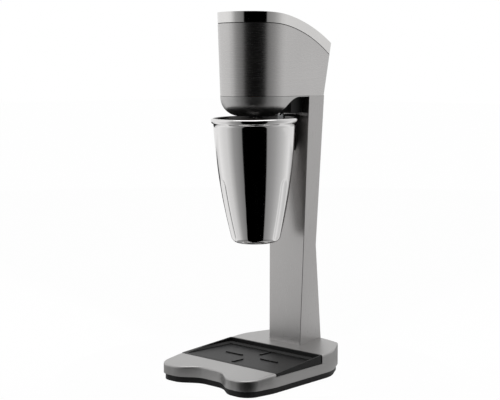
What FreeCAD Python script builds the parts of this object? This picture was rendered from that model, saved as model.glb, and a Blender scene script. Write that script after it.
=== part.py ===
"""Milkshake mixer: a sloped base with a drip tray, a flared column, a teardrop motor head and a steel cup.

Frame: millimetres, +Z up, the front of the mixer faces -Y.  The origin is the middle of the mixer seen
from above, at table level.  The spindle's axis is vertical, spindle_set in front of the origin.
"""
import FreeCAD, Part
import math
import os
import re
import Sketcher

V = FreeCAD.Vector
UP, ALONG_X, ALONG_Y = V(0, 0, 1), V(1, 0, 0), V(0, 1, 0)

# ---------------------------------------------------------------- driving dimensions
SIZES = [
    # base and foot
    ("base_depth", 209.1, "front lobes to the middle of the rear edge"),
    ("base_set", 4.2, "middle of the base in front of the origin"),
    ("base_front_half", 81, "half width at the front corners"),
    ("base_half", 87.7, "half width at the widest"),
    ("shoulder_half", 83.5, "half width where the sides turn in to the rear"),
    ("rear_half", 63, "half width of the rear edge"),
    ("widest_share", 0.572, "widest place before the base's middle, as a share of half the depth"),
    ("shoulder_share", 0.595, "shoulder behind the base's middle, as a share of half the depth"),
    ("front_corner", 22, "radius in plan"),
    ("widest_corner", 60, "radius in plan"),
    ("shoulder_corner", 55, "radius in plan"),
    ("rear_corner", 3.2, "radius in plan"),
    ("rear_bow", 7.8, "the rear edge bows out in the middle"),
    ("notch_half", 19.5, "half width of the flat of the front hollow"),
    ("notch_depth", 17.5, "front hollow, front to back"),
    ("notch_angle", 35, "flank of the hollow against the front"),
    ("notch_round", 29, "radius in plan"),
    ("skirt_height", 9, "metal's lower edge above the table"),
    ("deck_front", 22.4, "deck height at the front edge"),
    ("deck_angle", 4.78, "rise of the deck to the rear"),
    ("base_wall", 2, "cast base wall"),
    ("edge_round", 2.5, "upper edge of the base"),
    ("foot_height", 0.8, "rubber below the bottom plate"),
    ("foot_radius", 9, ""),
    ("foot_stem", 4, "stem radius"),
    ("plate_inset", 2.4, "bottom plate inside the metal's outline"),
    ("plate_top", 10.5, "height of the bottom plate's top"),
    ("post_radius", 4.5, "screw posts in the base"),
    ("screw_radius", 1.5, "small screws"),
    ("screw_head", 2.9, "radius of their heads"),
    ("head_height", 1.8, "of their heads"),
    # drip tray
    ("tray_front", -61, ""),
    ("tray_rear", 34, ""),
    ("tray_seat", 22.4, "flat step in the base that carries the tray"),
    ("seat_width", 4.6, "tray rim on the step"),
    ("tray_gap", 0.3, "running gap around the tray"),
    ("tray_wall", 2.2, ""),
    ("tray_corner", 2.5, "radius in plan"),
    ("tray_floor", 26, "height of the floor"),
    ("ledge_height", 29.3, "height of the ledge inside the rim"),
    ("ledge_bevel", 2.6, ""),
    ("rib_height", 1.5, ""),
    ("rib_width", 2.5, ""),
    ("rib_start", 17, "from the tray's centre"),
    ("rib_end", 47, "from the tray's centre"),
    # column
    ("column_front", 53, "front face at the deck"),
    ("column_lean", 1.44, "front face leans back"),
    ("column_rear", 97.4, "rear face at the deck"),
    ("waist_height", 172, "where the rear face turns"),
    ("waist_rear", 82.5, "rear face there"),
    ("column_top_rear", 93.1, "rear face under the head"),
    ("column_half", 28.3, "half width at the deck"),
    ("column_flare", 1.22, "side face against the vertical"),
    ("column_wall", 1.5, "sheet"),
    ("cover_gap", 0.2, "around the back cover"),
    ("lip_width", 6, "folded lips behind the cover's edges"),
    ("frame_front", 65, "inner post, front web"),
    ("frame_rear", 79, "inner post, rear edge of the flanges"),
    ("frame_half", 21, "inner post, half width"),
    ("frame_wall", 2, ""),
    ("flange_thick", 3, "foot flange of the inner post"),
    ("bolt_radius", 2.5, "column bolts"),
    ("bolt_head", 4.2, "radius"),
    ("gland_height", 64, "cable inlet above the table"),
    ("gland_radius", 6.5, "barrel"),
    ("gland_bore", 3.6, "radius of the cord's hole"),
    ("gland_flange", 9.5, "radius"),
    ("terminal_half", 10, "terminal block, half width"),
    ("terminal_height", 28, ""),
    # head
    ("spindle_set", 6.5, "spindle's axis in front of the origin"),
    ("crown_height", 485, "top of the lid, overall height"),
    ("head_rise", 108.6, "joint of head and column below the top"),
    ("seam_gap", 0.4, "shadow line at the joint"),
    ("head_radius", 46.2, "front radius at the joint"),
    ("head_draft", 1.9, "walls widen upward"),
    ("head_side", 6.8, "flat sides converge to the rear, in plan"),
    ("head_rear", 94.6, "rear face at the joint"),
    ("head_lean", 11.5, "rear face leans back"),
    ("head_wall", 1.8, ""),
    ("head_corner", 3, "rear vertical edges"),
    ("lid_depth", 14.8, "lid seam below the top"),
    ("seam_flat", -38.5, "where the seam starts to fall"),
    ("seam_radius", 275, ""),
    ("gasket_thick", 1, ""),
    ("gasket_inset", 0.5, ""),
    ("crown_flat", -46.5, "where the crown starts to fall"),
    ("crown_radius", 328, ""),
    ("chin_depth", 26.4, ""),
    ("chin_round", 25, "lower edge of the chin"),
    ("arch_radius", 36, "hollow between chin and column"),
    ("arch_end", 35.5, "where the hollow's ceiling turns flat"),
    # motor
    ("shaft_radius", 4, ""),
    ("bush_gap", 0.05, "running clearance of the shaft"),
    ("bush_radius", 9, ""),
    ("bush_length", 10, ""),
    ("platform_lift", 3.6, "underside of the motor platform above the joint"),
    ("platform_thick", 4, ""),
    ("platform_half", 31, ""),
    ("platform_bolt", 12, "left and right of the middle"),
    ("fan_lift", 9, "above the platform's underside"),
    ("fan_height", 6, ""),
    ("fan_radius", 27, ""),
    ("fan_hub", 8, "radius"),
    ("fan_blades", 9, ""),
    ("fan_blade", 0.8, "half thickness"),
    ("fan_sweep", 5.6, "blade's tip beside its root"),
    ("stator_lift", 24, "above the platform's underside"),
    ("stator_height", 32, ""),
    ("stator_width", 66, "left to right"),
    ("stator_depth", 58, "front to back"),
    ("air_gap", 0.6, "armature to stator"),
    ("armature_radius", 19.7, ""),
    ("armature_slots", 12, ""),
    ("slot_depth", 7, ""),
    ("slot_width", 1.6, "half width at the slot's floor"),
    ("winding_radius", 17, ""),
    ("winding_height", 7, ""),
    ("coil_near", 21, "field coil's inner side from the axis"),
    ("coil_thick", 5, ""),
    ("coil_half", 22, "field coil's half width"),
    ("coil_band", 5, "field coil's band"),
    ("coil_gap", 0.2, "field coil in its slot"),
    ("motor_bolt_x", 28.5, ""),
    ("motor_bolt_y", 25, ""),
    ("motor_bolt", 2, "radius"),
    ("pillar_radius", 3.8, ""),
    ("yoke_drop", 23, "upper bearing plate below the top"),
    ("yoke_thick", 3, ""),
    ("commutator_drop", 15, "below the upper bearing plate"),
    ("commutator_height", 11, ""),
    ("commutator_radius", 11, ""),
    ("slit_width", 0.6, ""),
    ("brush_width", 6, ""),
    ("brush_height", 7, ""),
    ("brush_length", 9, ""),
    ("brush_gap", 0.3, "brush to commutator"),
    ("holder_wall", 1.5, ""),
    ("holder_length", 17, ""),
    # spindle
    ("coupling_drop", 22.4, "foot of the coupling below the joint"),
    ("coupling_height", 20, ""),
    ("coupling_radius", 6.5, ""),
    ("seal_radius", 9, ""),
    ("seal_gap", 0.3, "seal to shaft"),
    ("neck_drop", 7, "spindle's shoulder below the cup's bead"),
    ("stem_radius", 3, "spindle below the shoulder"),
    ("agitator_drop", 121, "underside of the agitator below the cup's bead"),
    ("agitator_radius", 15.5, ""),
    ("agitator_thick", 2, ""),
    ("agitator_notches", 8, ""),
    ("nut_radius", 4.5, ""),
    ("nut_height", 2.4, ""),
    # cup
    ("cup_set", 8.5, "rim centre in front of the origin"),
    ("rim_drop", 31.4, "bead's centre below the joint"),
    ("cup_tilt", 1.45, "foot leans to the column"),
    ("bead_radius", 3, ""),
    ("cup_radius", 54.6, "wall under the bead"),
    ("cup_foot", 33, "wall at the lower corner"),
    ("cup_bulge", 790, "radius of the wall's curve"),
    ("cup_height", 163, "below the bead's centre"),
    ("cup_corner", 7, "lower corner"),
    ("cup_wall", 0.9, ""),
    ("flutes", 6, ""),
    ("flute_turn", 13.2, "first flute from +X"),
    ("flute_radius", 9, ""),
    ("flute_depth", 1.8, ""),
    ("flute_top", 84, "below the rim"),
    ("flute_foot", 146, "below the rim"),
    # cup bracket and switch
    ("bracket_half", 13, ""),
    ("bracket_drop", 43, "foot of the bracket below the cup's bead"),
    ("bracket_gap", 0.5, "bead to bracket"),
    ("clip_half", 5, ""),
    ("clip_thick", 0.8, ""),
    ("clip_gap", 0.9, "clip to cup"),
    ("clip_drop", 10, "inner leg below the bead's centre"),
    ("switch_drop", 23.4, "underside of the switch housing below the joint"),
    ("switch_half", 24, ""),
    ("switch_front", 38, ""),
    ("switch_wall", 1.8, ""),
    ("ceiling_gap", 0.8, "switch housing and the chin's hollow below the joint"),
    ("microswitch_half", 10, ""),
    ("microswitch_depth", 8, "front to back"),
    ("plunger_radius", 2.5, ""),
    ("plunger_gap", 0.08, "plunger in its guide"),
    ("plunger_travel", 3, ""),
    ("collar_height", 1, "plunger's collar"),
    ("nose_height", 3, "plunger above its collar"),
    ("spring_wire", 0.3, "radius of the spring wire"),
    ("spring_turns", 5, ""),
    ("rest_gap", 0.3, "between parts that only touch"),
]

# heights that follow from the sizes
DERIVED = {
    "split_height": "(crown_height - head_rise)",
    "seam_height": "(crown_height - lid_depth)",
    "platform_base": "(split_height + platform_lift)",
    "fan_base": "(platform_base + fan_lift)",
    "stator_base": "(platform_base + stator_lift)",
    "yoke_base": "(crown_height - yoke_drop)",
    "commutator_base": "(yoke_base - commutator_drop)",
    "coupling_base": "(split_height - coupling_drop)",
    "rim_height": "(split_height - rim_drop)",
    "neck_height": "(rim_height - neck_drop)",
    "agitator_height": "(rim_height - agitator_drop)",
    "bracket_foot": "(rim_height - bracket_drop)",
    "switch_foot": "(split_height - switch_drop)",
    "base_widest": "(-base_set - widest_share * base_depth / 2)",
    "base_shoulder": "(shoulder_share * base_depth / 2 - base_set)",
}

doc = FreeCAD.newDocument("MilkshakeMixer")
sheet = doc.addObject("Spreadsheet::Sheet", "Sizes")
for row, (alias, amount, remark) in enumerate(SIZES, start=1):
    sheet.set(f"A{row}", alias)
    sheet.set(f"B{row}", str(amount))
    sheet.set(f"C{row}", remark)
    sheet.setAlias(f"B{row}", alias)
doc.recompute()
ALIASES = {alias for alias, _, _ in SIZES}


# ---------------------------------------------------------------- helpers
WORD = r"[a-z]+(?:_[a-z]+)*"


def spelled(expression):
    """The expression with each derived height written out in the sheet's sizes."""
    text = str(expression)
    while any(word in DERIVED for word in re.findall(WORD, text)):
        text = re.sub(WORD, lambda word: DERIVED.get(word[0], word[0]), text)
    return text


def linked(expression):
    """The expression with each alias pointed at the sheet."""
    return re.sub(WORD, lambda word: f"Sizes.{word[0]}" if word[0] in ALIASES else word[0], spelled(expression))


def worth(expression):
    """The present value of an expression of the sheet's aliases."""
    return float(sheet.evalExpression(spelled(expression)))


def bind(thing, **properties):
    """Bind properties of an object to expressions; a double underscore stands for a dot."""
    for name, expression in properties.items():
        thing.setExpression(name.replace("__", "."), linked(expression))


def place(thing, x="0", y="0", z="0", axis=UP, angle="0"):
    """Bind an object's position and set its turn about an axis through that position."""
    turn = FreeCAD.Rotation(axis, worth(angle))
    thing.Placement = FreeCAD.Placement(V(worth(x), worth(y), worth(z)), turn)
    bind(thing, Placement__Base__x=x, Placement__Base__y=y, Placement__Base__z=z)
    if angle != "0":
        bind(thing, Placement__Rotation__Angle=angle)
    return thing


def body(label):
    """An empty body."""
    made = doc.addObject("PartDesign::Body", label)
    made.Label = label
    return made


def origin_plane(owner, role):
    """One of a body's own origin planes."""
    return next(item for item in owner.Origin.OriginFeatures if item.Role == role)


def sketch_on(owner, name, role, height="0"):
    """An empty sketch on one of the body's origin planes, raised by height along its normal."""
    sketch = owner.newObject("Sketcher::SketchObject", name)
    sketch.AttachmentSupport = (origin_plane(owner, role), [""])
    sketch.MapMode = "FlatFace"
    sketch.AttachmentOffset = FreeCAD.Placement(V(0, 0, worth(height)), FreeCAD.Rotation())
    if height != "0":
        bind(sketch, AttachmentOffset__Base__z=height)
    return sketch


def hold(sketch, kind, *args, expression):
    """Add a dimension to a sketch and bind it."""
    index = sketch.addConstraint(Sketcher.Constraint(kind, *args, worth(expression)))
    sketch.setExpression(f"Constraints[{index}]", linked(expression))


def outline(owner, name, role, corners, height="0"):
    """A closed sketch. A corner is (across, up) or (across, up, radius): the radius makes the run to the
    next corner an arc, and its sign is positive where the arc turns to the left."""
    sketch = sketch_on(owner, name, role, height)
    spots = [V(worth(corner[0]), worth(corner[1]), 0) for corner in corners]
    ends = []
    for index, corner in enumerate(corners):
        start, end = spots[index], spots[(index + 1) % len(spots)]
        if len(corner) == 2:
            sketch.addGeometry(Part.LineSegment(start, end))
            ends.append((1, 2))
            continue
        radius = worth(corner[2])
        chord = end - start
        reach = math.sqrt(radius ** 2 - chord.Length ** 2 / 4)
        side = V(chord.y, -chord.x, 0).normalize() * math.copysign(abs(radius) - reach, radius)
        sketch.addGeometry(Part.ArcOfCircle(start, (start + end) / 2 + side, end))
        ends.append((1, 2) if (sketch.getPoint(index, 1) - start).Length < 1e-6 else (2, 1))
        hold(sketch, "Radius", index, expression=corner[2] if radius > 0 else f"-({corner[2]})")
    for index, corner in enumerate(corners):
        before = (index - 1) % len(corners)
        sketch.addConstraint(Sketcher.Constraint("Coincident", index, ends[index][0], before, ends[before][1]))
        hold(sketch, "DistanceX", -1, 1, index, ends[index][0], expression=corner[0])
        hold(sketch, "DistanceY", -1, 1, index, ends[index][0], expression=corner[1])
    return sketch


def ring_sketch(owner, name, radius, height="0", x="0", y="0"):
    """A circle on the level plane."""
    sketch = sketch_on(owner, name, "XY_Plane", height)
    sketch.addGeometry(Part.Circle(V(worth(x), worth(y), 0), UP, worth(radius)))
    hold(sketch, "Radius", 0, expression=radius)
    hold(sketch, "DistanceX", -1, 1, 0, 3, expression=x)
    hold(sketch, "DistanceY", -1, 1, 0, 3, expression=y)
    return sketch


def feature(owner, kind, sketch, **properties):
    """A feature of a sketch in a body."""
    made = owner.newObject("PartDesign::" + kind, sketch.Name + kind)
    made.Profile = sketch
    bind(made, **properties)
    doc.recompute()
    return made


def pad(owner, sketch, length, both=False, down=False):
    """Raise a sketch, on one side or on both."""
    made = feature(owner, "Pad", sketch, Length=length)
    made.SideType = "Symmetric" if both else "One side"
    made.Reversed = down
    doc.recompute()
    return made


def pocket(owner, sketch, length, both=False, up=False):
    """Cut with a sketch, on one side or on both; up cuts along the sketch's normal."""
    before = owner.Shape.Volume
    made = feature(owner, "Pocket", sketch, Length=length)
    made.SideType = "Symmetric" if both else "One side"
    made.Reversed = up
    doc.recompute()
    if owner.Shape.Volume >= before - 1e-6:
        raise RuntimeError(f"{made.Name} cuts nothing")
    return made


def spin(owner, sketch):
    """Turn a sketch of the XZ plane about Z."""
    made = feature(owner, "Revolution", sketch, Angle="360")
    made.ReferenceAxis = (sketch, ["V_Axis"])
    doc.recompute()
    return made


def array(owner, original, count, axis_sketch):
    """Repeat a feature about the normal of a sketch."""
    made = owner.newObject("PartDesign::PolarPattern", original.Name + "Array")
    made.Originals = [original]
    made.Axis = (axis_sketch, ["N_Axis"])
    bind(made, Angle="360", Occurrences=count)
    owner.Tip = made
    doc.recompute()
    return made


def dress(owner, kind, picked, name, **sizes):
    """Fillet or chamfer picked edges or faces of a body."""
    base = owner.Tip
    made = owner.newObject("PartDesign::" + kind, name)
    made.Base = (base, picked)
    bind(made, **sizes)
    owner.Tip = made
    doc.recompute()
    return made


def edges_through(shape, spots):
    """Names of the edges that pass over given places in plan and are steeper than level."""
    found = []
    for number, edge in enumerate(shape.Edges, start=1):
        low, high = sorted((edge.Vertexes[0].Point, edge.Vertexes[-1].Point), key=lambda point: point.z)
        steep = high.z - low.z > 0.5 * (high - low).Length > 0
        if steep and any(math.hypot(low.x - x, low.y - y) < 0.01 for x, y in spots):
            found.append(f"Edge{number}")
    return found


def end_face(shape, direction):
    """Name of the face that lies furthest along a direction."""
    centres = [(face.CenterOfMass.dot(direction), number) for number, face in enumerate(shape.Faces, start=1)
               if face.normalAt(*face.Surface.parameter(face.CenterOfMass)).dot(direction) > 0.95]
    return f"Face{max(centres)[1]}"


def solid_of(kind, label, tools, first=None):
    """A boolean of document objects."""
    made = doc.addObject("Part::" + kind, label)
    made.Label = label
    if first is None:
        made.Shapes = tools
    else:
        made.Base, made.Tool = first, tools
    doc.recompute()
    return made


def cut(label, base, *tools):
    """Base without the tools."""
    tool = tools[0] if len(tools) == 1 else solid_of("MultiFuse", label + "_tools", list(tools))
    return solid_of("Cut", label, tool, first=base)


def fuse(label, *pieces):
    """One solid of touching pieces."""
    return solid_of("MultiFuse", label, list(pieces))


def common(label, *pieces):
    """What the pieces share."""
    return solid_of("MultiCommon", label, list(pieces))


def group(label, pieces):
    """Separate solids in one node."""
    made = doc.addObject("Part::Compound", label)
    made.Label = label
    made.Links = list(pieces)
    doc.recompute()
    return made


def box(label, low, high):
    """A block between two corners, each three expressions."""
    made = doc.addObject("Part::Box", label)
    made.Label = label
    spans = [f"({high[axis]}) - ({low[axis]})" for axis in range(3)]
    bind(made, Length=spans[0], Width=spans[1], Height=spans[2])
    return place(made, *low)


def rod(label, radius, height, x="0", y="0", z="0", axis=UP, angle="0"):
    """A cylinder from a place along +Z, turned by an angle about an axis."""
    made = doc.addObject("Part::Cylinder", label)
    made.Label = label
    bind(made, Radius=radius, Height=height)
    return place(made, x, y, z, axis, angle)


def tube(label, radius, bore, height, **where):
    """A cylinder with a hole."""
    skin = rod(label + "_skin", radius, height, **where)
    return cut(label, skin, rod(label + "_bore", bore, height, **where))


def coil_spring(label, radius, length):
    """A helical spring along +Z between the centres of its end coils."""
    line = Part.makeHelix(worth(length) / worth("spring_turns"), worth(length), worth(radius))
    start = V(worth(radius), 0, 0)
    loop = Part.Wire([Part.Circle(start, ALONG_Y, worth("spring_wire")).toShape()])
    made = doc.addObject("Part::Feature", label)
    made.Shape = Part.Wire(line.Edges).makePipeShell([loop], True, True)
    return made


nodes = []


def node(thing, label):
    """Name a finished sub-part."""
    thing.Label = label
    nodes.append(thing)
    return thing


# ---------------------------------------------------------------- shared lines
FRONT, REAR = "-(base_depth / 2 + base_set)", "(base_depth / 2 - base_set)"
SPINDLE = "-spindle_set"
BEYOND = "2 * base_depth"


def deck_at(y):
    """Height of the deck at a place front to back."""
    return f"deck_front + (({y}) + base_depth / 2 + base_set) * tan(deck_angle)"


def side_at(y):
    """Half width of the base beside the tray at a place front to back."""
    return (f"base_half - (({y}) - base_widest) * (base_half - shoulder_half)"
            " / (base_shoulder - base_widest)")


def column_side(z):
    """Half width of the column at a height."""
    return f"column_half + (({z}) - ({deck_at('column_front')})) * tan(column_flare)"


def column_face(z):
    """Front face of the column at a height."""
    return f"column_front + (({z}) - ({deck_at('column_front')})) * tan(column_lean)"


def column_back(z):
    """Rear face of the column at a height below the waist."""
    foot = deck_at("column_rear")
    return f"column_rear + (waist_rear - column_rear) * (({z}) - ({foot})) / (waist_height - ({foot}))"


def column_upper_back(z):
    """Rear face of the column at a height above the waist."""
    return f"waist_rear + (column_top_rear - waist_rear) * (({z}) - waist_height) / (split_height - waist_height)"


def fall(y, flat, radius):
    """Drop of a crown line behind the place where it starts to fall."""
    return f"({radius} - sqrt({radius} ^ 2 - (({y}) - {flat}) ^ 2))"


# ---------------------------------------------------------------- base
FRONT_NORMAL = "-90 deg"
CHEEK_NORMAL = f"-atan((base_half - base_front_half) / (base_widest - ({FRONT})))"
SIDE_NORMAL = "atan((base_half - shoulder_half) / (base_shoulder - base_widest))"
FLANK_NORMAL = f"(90 deg - atan(({REAR} - rear_bow - base_shoulder) / (shoulder_half - rear_half)))"
BOW_RADIUS = "(rear_half ^ 2 + rear_bow ^ 2) / (2 * rear_bow)"
BOW_NORMAL = f"atan(({BOW_RADIUS} - rear_bow) / rear_half)"


def drawn_in(x, y, first, second, inset):
    """A corner of the footprint between two sides, given by their normals' angles, drawn in by inset."""
    half_turn = f"cos((({second}) - ({first})) / 2)"
    mean = f"(({first}) + ({second})) / 2"
    return (f"{x} - ({inset}) * cos({mean}) / {half_turn}", f"{y} - ({inset}) * sin({mean}) / {half_turn}")


def base_outline(label, inset, height, thickness):
    """The base's footprint, drawn in by inset, from a height upward."""
    made = body(label)
    hollow = (f"notch_half + ({inset}) * tan(notch_angle / 2)", f"{FRONT} + ({inset}) + notch_depth")
    lobe = (f"{hollow[0]} + notch_depth / tan(notch_angle)", f"{FRONT} + ({inset})")
    corner = drawn_in("base_front_half", FRONT, FRONT_NORMAL, CHEEK_NORMAL, inset)
    widest = drawn_in("base_half", "base_widest", CHEEK_NORMAL, SIDE_NORMAL, inset)
    shoulder = drawn_in("shoulder_half", "base_shoulder", SIDE_NORMAL, FLANK_NORMAL, inset)
    rear = drawn_in("rear_half", f"{REAR} - rear_bow", FLANK_NORMAL, BOW_NORMAL, inset)
    right = [hollow, lobe, corner, widest, shoulder]
    left = [(f"-({x})", y) for x, y in reversed(right)]
    bow = [(*rear, f"{BOW_RADIUS} - ({inset})"), (f"-({rear[0]})", rear[1])]
    pad(made, outline(made, label + "_plan", "XY_Plane", right + bow + left, height), thickness)
    rounds = [
        ("front", f"front_corner - ({inset})", corner),
        ("widest", f"widest_corner - ({inset})", widest),
        ("shoulder", f"shoulder_corner - ({inset})", shoulder),
        ("rear", f"rear_corner - ({inset})", rear),
        ("lobe", f"notch_round - ({inset})", lobe),
        ("hollow", f"notch_round + ({inset})", hollow),
    ]
    for name, radius, (x, y) in rounds:
        both = [(sign * worth(x), worth(y)) for sign in (-1, 1)]
        dress(made, "Fillet", edges_through(made.Shape, both), f"{label}_{name}", Radius=radius)
    return made


def base_block(label, inset, roof):
    """The base's outer or inner form: footprint, sloped deck and the step for the tray."""
    made = base_outline(label, inset, "skirt_height", "base_depth / 2")
    slope = outline(made, label + "_slope", "YZ_Plane", [
        (f"-({BEYOND})", f"{deck_at(f'-({BEYOND})')} - ({roof})"), (BEYOND, f"{deck_at(BEYOND)} - ({roof})"),
        (BEYOND, BEYOND), (f"-({BEYOND})", BEYOND)])
    pocket(made, slope, BEYOND, both=True)
    if inset == "0":
        dress(made, "Fillet", [end_face(made.Shape, UP)], label + "_edge", Radius="edge_round")
    step = outline(made, label + "_step", "YZ_Plane", [
        (f"tray_front - ({roof})", f"tray_seat - ({roof})"), (f"tray_rear + ({roof})", f"tray_seat - ({roof})"),
        (f"tray_rear + ({roof})", BEYOND), (f"tray_front - ({roof})", BEYOND)])
    pocket(made, step, BEYOND, both=True)
    return made


def tray_corners(inset):
    """Corners of the tray in plan, drawn in by inset from the base's sides and the step's ends."""
    front, rear = f"tray_front + ({inset})", f"tray_rear - ({inset})"
    wide_front, wide_rear = f"({side_at(front)} - ({inset}))", f"({side_at(rear)} - ({inset}))"
    return [(f"-{wide_front}", front), (wide_front, front), (wide_rear, rear), (f"-{wide_rear}", rear)]


def tray_plan(owner, name, inset, height):
    """The tray's outline in plan, drawn in by inset, at a height."""
    return outline(owner, name, "XY_Plane", tray_corners(inset), height)


def in_pairs(*spots):
    """Places mirrored left to right."""
    return [(f"{sign}({x})", y) for x, y in spots for sign in ("-", "")]


post_places = in_pairs(("notch_half + 4 * post_radius", f"{FRONT} + notch_depth + 3 * post_radius"),
                       ("base_half - 5 * post_radius", "base_shoulder"))
foot_places = in_pairs(("base_front_half - 2.5 * foot_radius", f"{FRONT} + 2.7 * foot_radius"),
                       ("rear_half - foot_radius", f"{REAR} - rear_bow - 1.2 * foot_radius"))
bolt_places = in_pairs(("column_half - 4 * bolt_head", "frame_front + 2 * bolt_head"),
                       ("column_half - 3 * bolt_head", "column_rear - 2.3 * bolt_head"))

base_outer = base_block("base_outer", "0", "0")
base_inner = base_block("base_inner", "base_wall", "base_wall")
posts = [rod(f"base_post_{i}", "post_radius", "base_depth / 4", x, y, "plate_top")
         for i, (x, y) in enumerate(post_places)]
post_bores = [rod(f"base_post_bore_{i}", "screw_radius", "plate_top + 2 * head_height", x, y, "0")
              for i, (x, y) in enumerate(post_places)]
ring_of_posts = common("base_posts", base_inner, group("base_post_rods", posts))
opening_block = body("base_opening")
pad(opening_block, tray_plan(opening_block, "base_opening_plan", "seat_width - tray_gap", "skirt_height"),
    "base_depth / 4")


def deck_stack(label, radius, height, lift):
    """Rods square to the deck at each column bolt, starting lift above the deck."""
    made = []
    for i, (x, y) in enumerate(bolt_places):
        back = f"({y}) - ({lift}) * sin(deck_angle)"
        up = f"{deck_at(y)} + ({lift}) * cos(deck_angle)"
        made.append(rod(f"{label}_{i}", radius, height, x, back, up, ALONG_X, "deck_angle"))
    return made


deck_holes = deck_stack("deck_hole", "bolt_radius", "4 * base_wall", "-3 * base_wall")
cable_hole = rod("deck_cable_hole", "gland_radius", "base_depth / 4", "0", "frame_rear + base_wall",
                 "plate_top")
base_skin = cut("base_skin", base_outer, base_inner, opening_block, cable_hole, *deck_holes)
base_shell = node(cut("base_shell_cut", fuse("base_with_posts", base_skin, ring_of_posts), *post_bores),
                  "base_shell")

plate_blank = base_outline("base_plate_blank", "plate_inset", "foot_height", "plate_top - foot_height")
plate_holes = [rod(f"plate_screw_hole_{i}", "screw_radius + rest_gap", "plate_top", x, y, "0")
               for i, (x, y) in enumerate(post_places)]
plate_sinks = [rod(f"plate_sink_{i}", "screw_head + rest_gap", "head_height + 3 * rest_gap", x, y,
                   "foot_height") for i, (x, y) in enumerate(post_places)]
stem_holes = [rod(f"plate_stem_hole_{i}", "foot_stem", "plate_top", x, y, "0")
              for i, (x, y) in enumerate(foot_places)]
base_plate = node(cut("base_plate_cut", plate_blank, *plate_holes, *plate_sinks, *stem_holes), "base_plate")

feet = []
for i, (x, y) in enumerate(foot_places):
    disc = rod(f"foot_disc_{i}", "foot_radius", "foot_height", x, y, "0")
    stem = rod(f"foot_stem_{i}", "foot_stem", "plate_top", x, y, "0")
    feet.append(fuse(f"foot_{i}", disc, stem))
rubber_feet = node(group("rubber_feet_group", feet), "rubber_feet")


def screw(label, x, y, z, axis=UP, angle="0", length="10", shank="screw_radius", head="screw_head",
          height="head_height"):
    """A pan-head screw whose shank points along the turned +Z from the seat of its head."""
    barrel = rod(label + "_shank", shank, length, x, y, z, axis, angle)
    cap = rod(label + "_cap", head, height, x, y, z, axis, angle)
    turned = FreeCAD.Rotation(axis, worth(angle)).multVec(UP)
    for name, share in (("x", turned.x), ("y", turned.y), ("z", turned.z)):
        start = dict(x=x, y=y, z=z)[name]
        bind(cap, **{f"Placement__Base__{name}": f"({start}) - ({height}) * ({share:.9f})"})
    return fuse(label, barrel, cap)


base_screws = node(group("base_screw_group", [
    screw(f"base_screw_{i}", x, y, "foot_height + head_height + 3 * rest_gap",
          length="plate_top - foot_height - rest_gap") for i, (x, y) in enumerate(post_places)]), "base_screws")

# ---------------------------------------------------------------- drip tray
tray_rim = body("drip_tray_rim")
pad(tray_rim, tray_plan(tray_rim, "tray_rim_plan", "tray_gap", "tray_seat + tray_gap"), "base_depth / 4")
dress(tray_rim, "Fillet", edges_through(tray_rim.Shape, [(worth(x), worth(y)) for x, y in tray_corners("tray_gap")]),
      "tray_rim_corners", Radius="tray_corner")
tray_skirt = body("drip_tray_skirt")
pad(tray_skirt, tray_plan(tray_skirt, "tray_skirt_plan", "seat_width", "tray_seat - tray_wall"),
    "tray_wall + 2 * tray_gap")
tray_under = body("drip_tray_under")
pad(tray_under, tray_plan(tray_under, "tray_under_plan", "seat_width + tray_wall", "tray_seat - 2 * tray_wall"),
    "tray_floor - tray_seat + tray_wall")
over_deck = body("over_deck")
pad(over_deck, outline(over_deck, "over_deck_side", "YZ_Plane", [
    (f"-({BEYOND})", deck_at(f"-({BEYOND})")), (BEYOND, deck_at(BEYOND)), (BEYOND, BEYOND),
    (f"-({BEYOND})", BEYOND)]), BEYOND, both=True)
tray_hollow = body("drip_tray_hollow")
pad(tray_hollow, tray_plan(tray_hollow, "tray_hollow_plan", "tray_gap + tray_wall", "ledge_height"),
    "base_depth / 4")
tray_pan = body("drip_tray_pan")
pad(tray_pan, tray_plan(tray_pan, "tray_pan_plan", "seat_width + tray_wall", "tray_floor"),
    "ledge_height - tray_floor")
tray_bevel = body("drip_tray_bevel")
bevel_foot = tray_plan(tray_bevel, "tray_bevel_foot", "seat_width + tray_wall", "ledge_height - ledge_bevel")
bevel_head = tray_plan(tray_bevel, "tray_bevel_head", "seat_width + tray_wall - ledge_bevel", "ledge_height")
bevel = tray_bevel.newObject("PartDesign::AdditiveLoft", "tray_bevel_loft")
bevel.Profile = bevel_foot
bevel.Sections = [bevel_head]
bevel.Ruled = True
doc.recompute()
tray_centre = "(tray_front + tray_rear) / 2"
half_rib = "rib_width / 2"
reach = {"left": ("-rib_end", f"{tray_centre} - {half_rib}", "-rib_start", f"{tray_centre} + {half_rib}"),
         "right": ("rib_start", f"{tray_centre} - {half_rib}", "rib_end", f"{tray_centre} + {half_rib}"),
         "front": (f"-{half_rib}", f"{tray_centre} - rib_end * 0.8", half_rib, f"{tray_centre} - rib_start"),
         "rear": (f"-{half_rib}", f"{tray_centre} + rib_start", half_rib, f"{tray_centre} + rib_end * 0.8")}
tray_ribs = [box(f"tray_rib_{name}", (x0, y0, "tray_floor - tray_wall / 2"), (x1, y1, "tray_floor + rib_height"))
             for name, (x0, y0, x1, y1) in reach.items()]
tray_shell = cut("tray_shell", fuse("tray_solid", tray_rim, tray_skirt), over_deck, tray_hollow, tray_pan,
                 tray_bevel, tray_under)
drip_tray = node(fuse("drip_tray_whole", tray_shell, *tray_ribs), "drip_tray")


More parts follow.
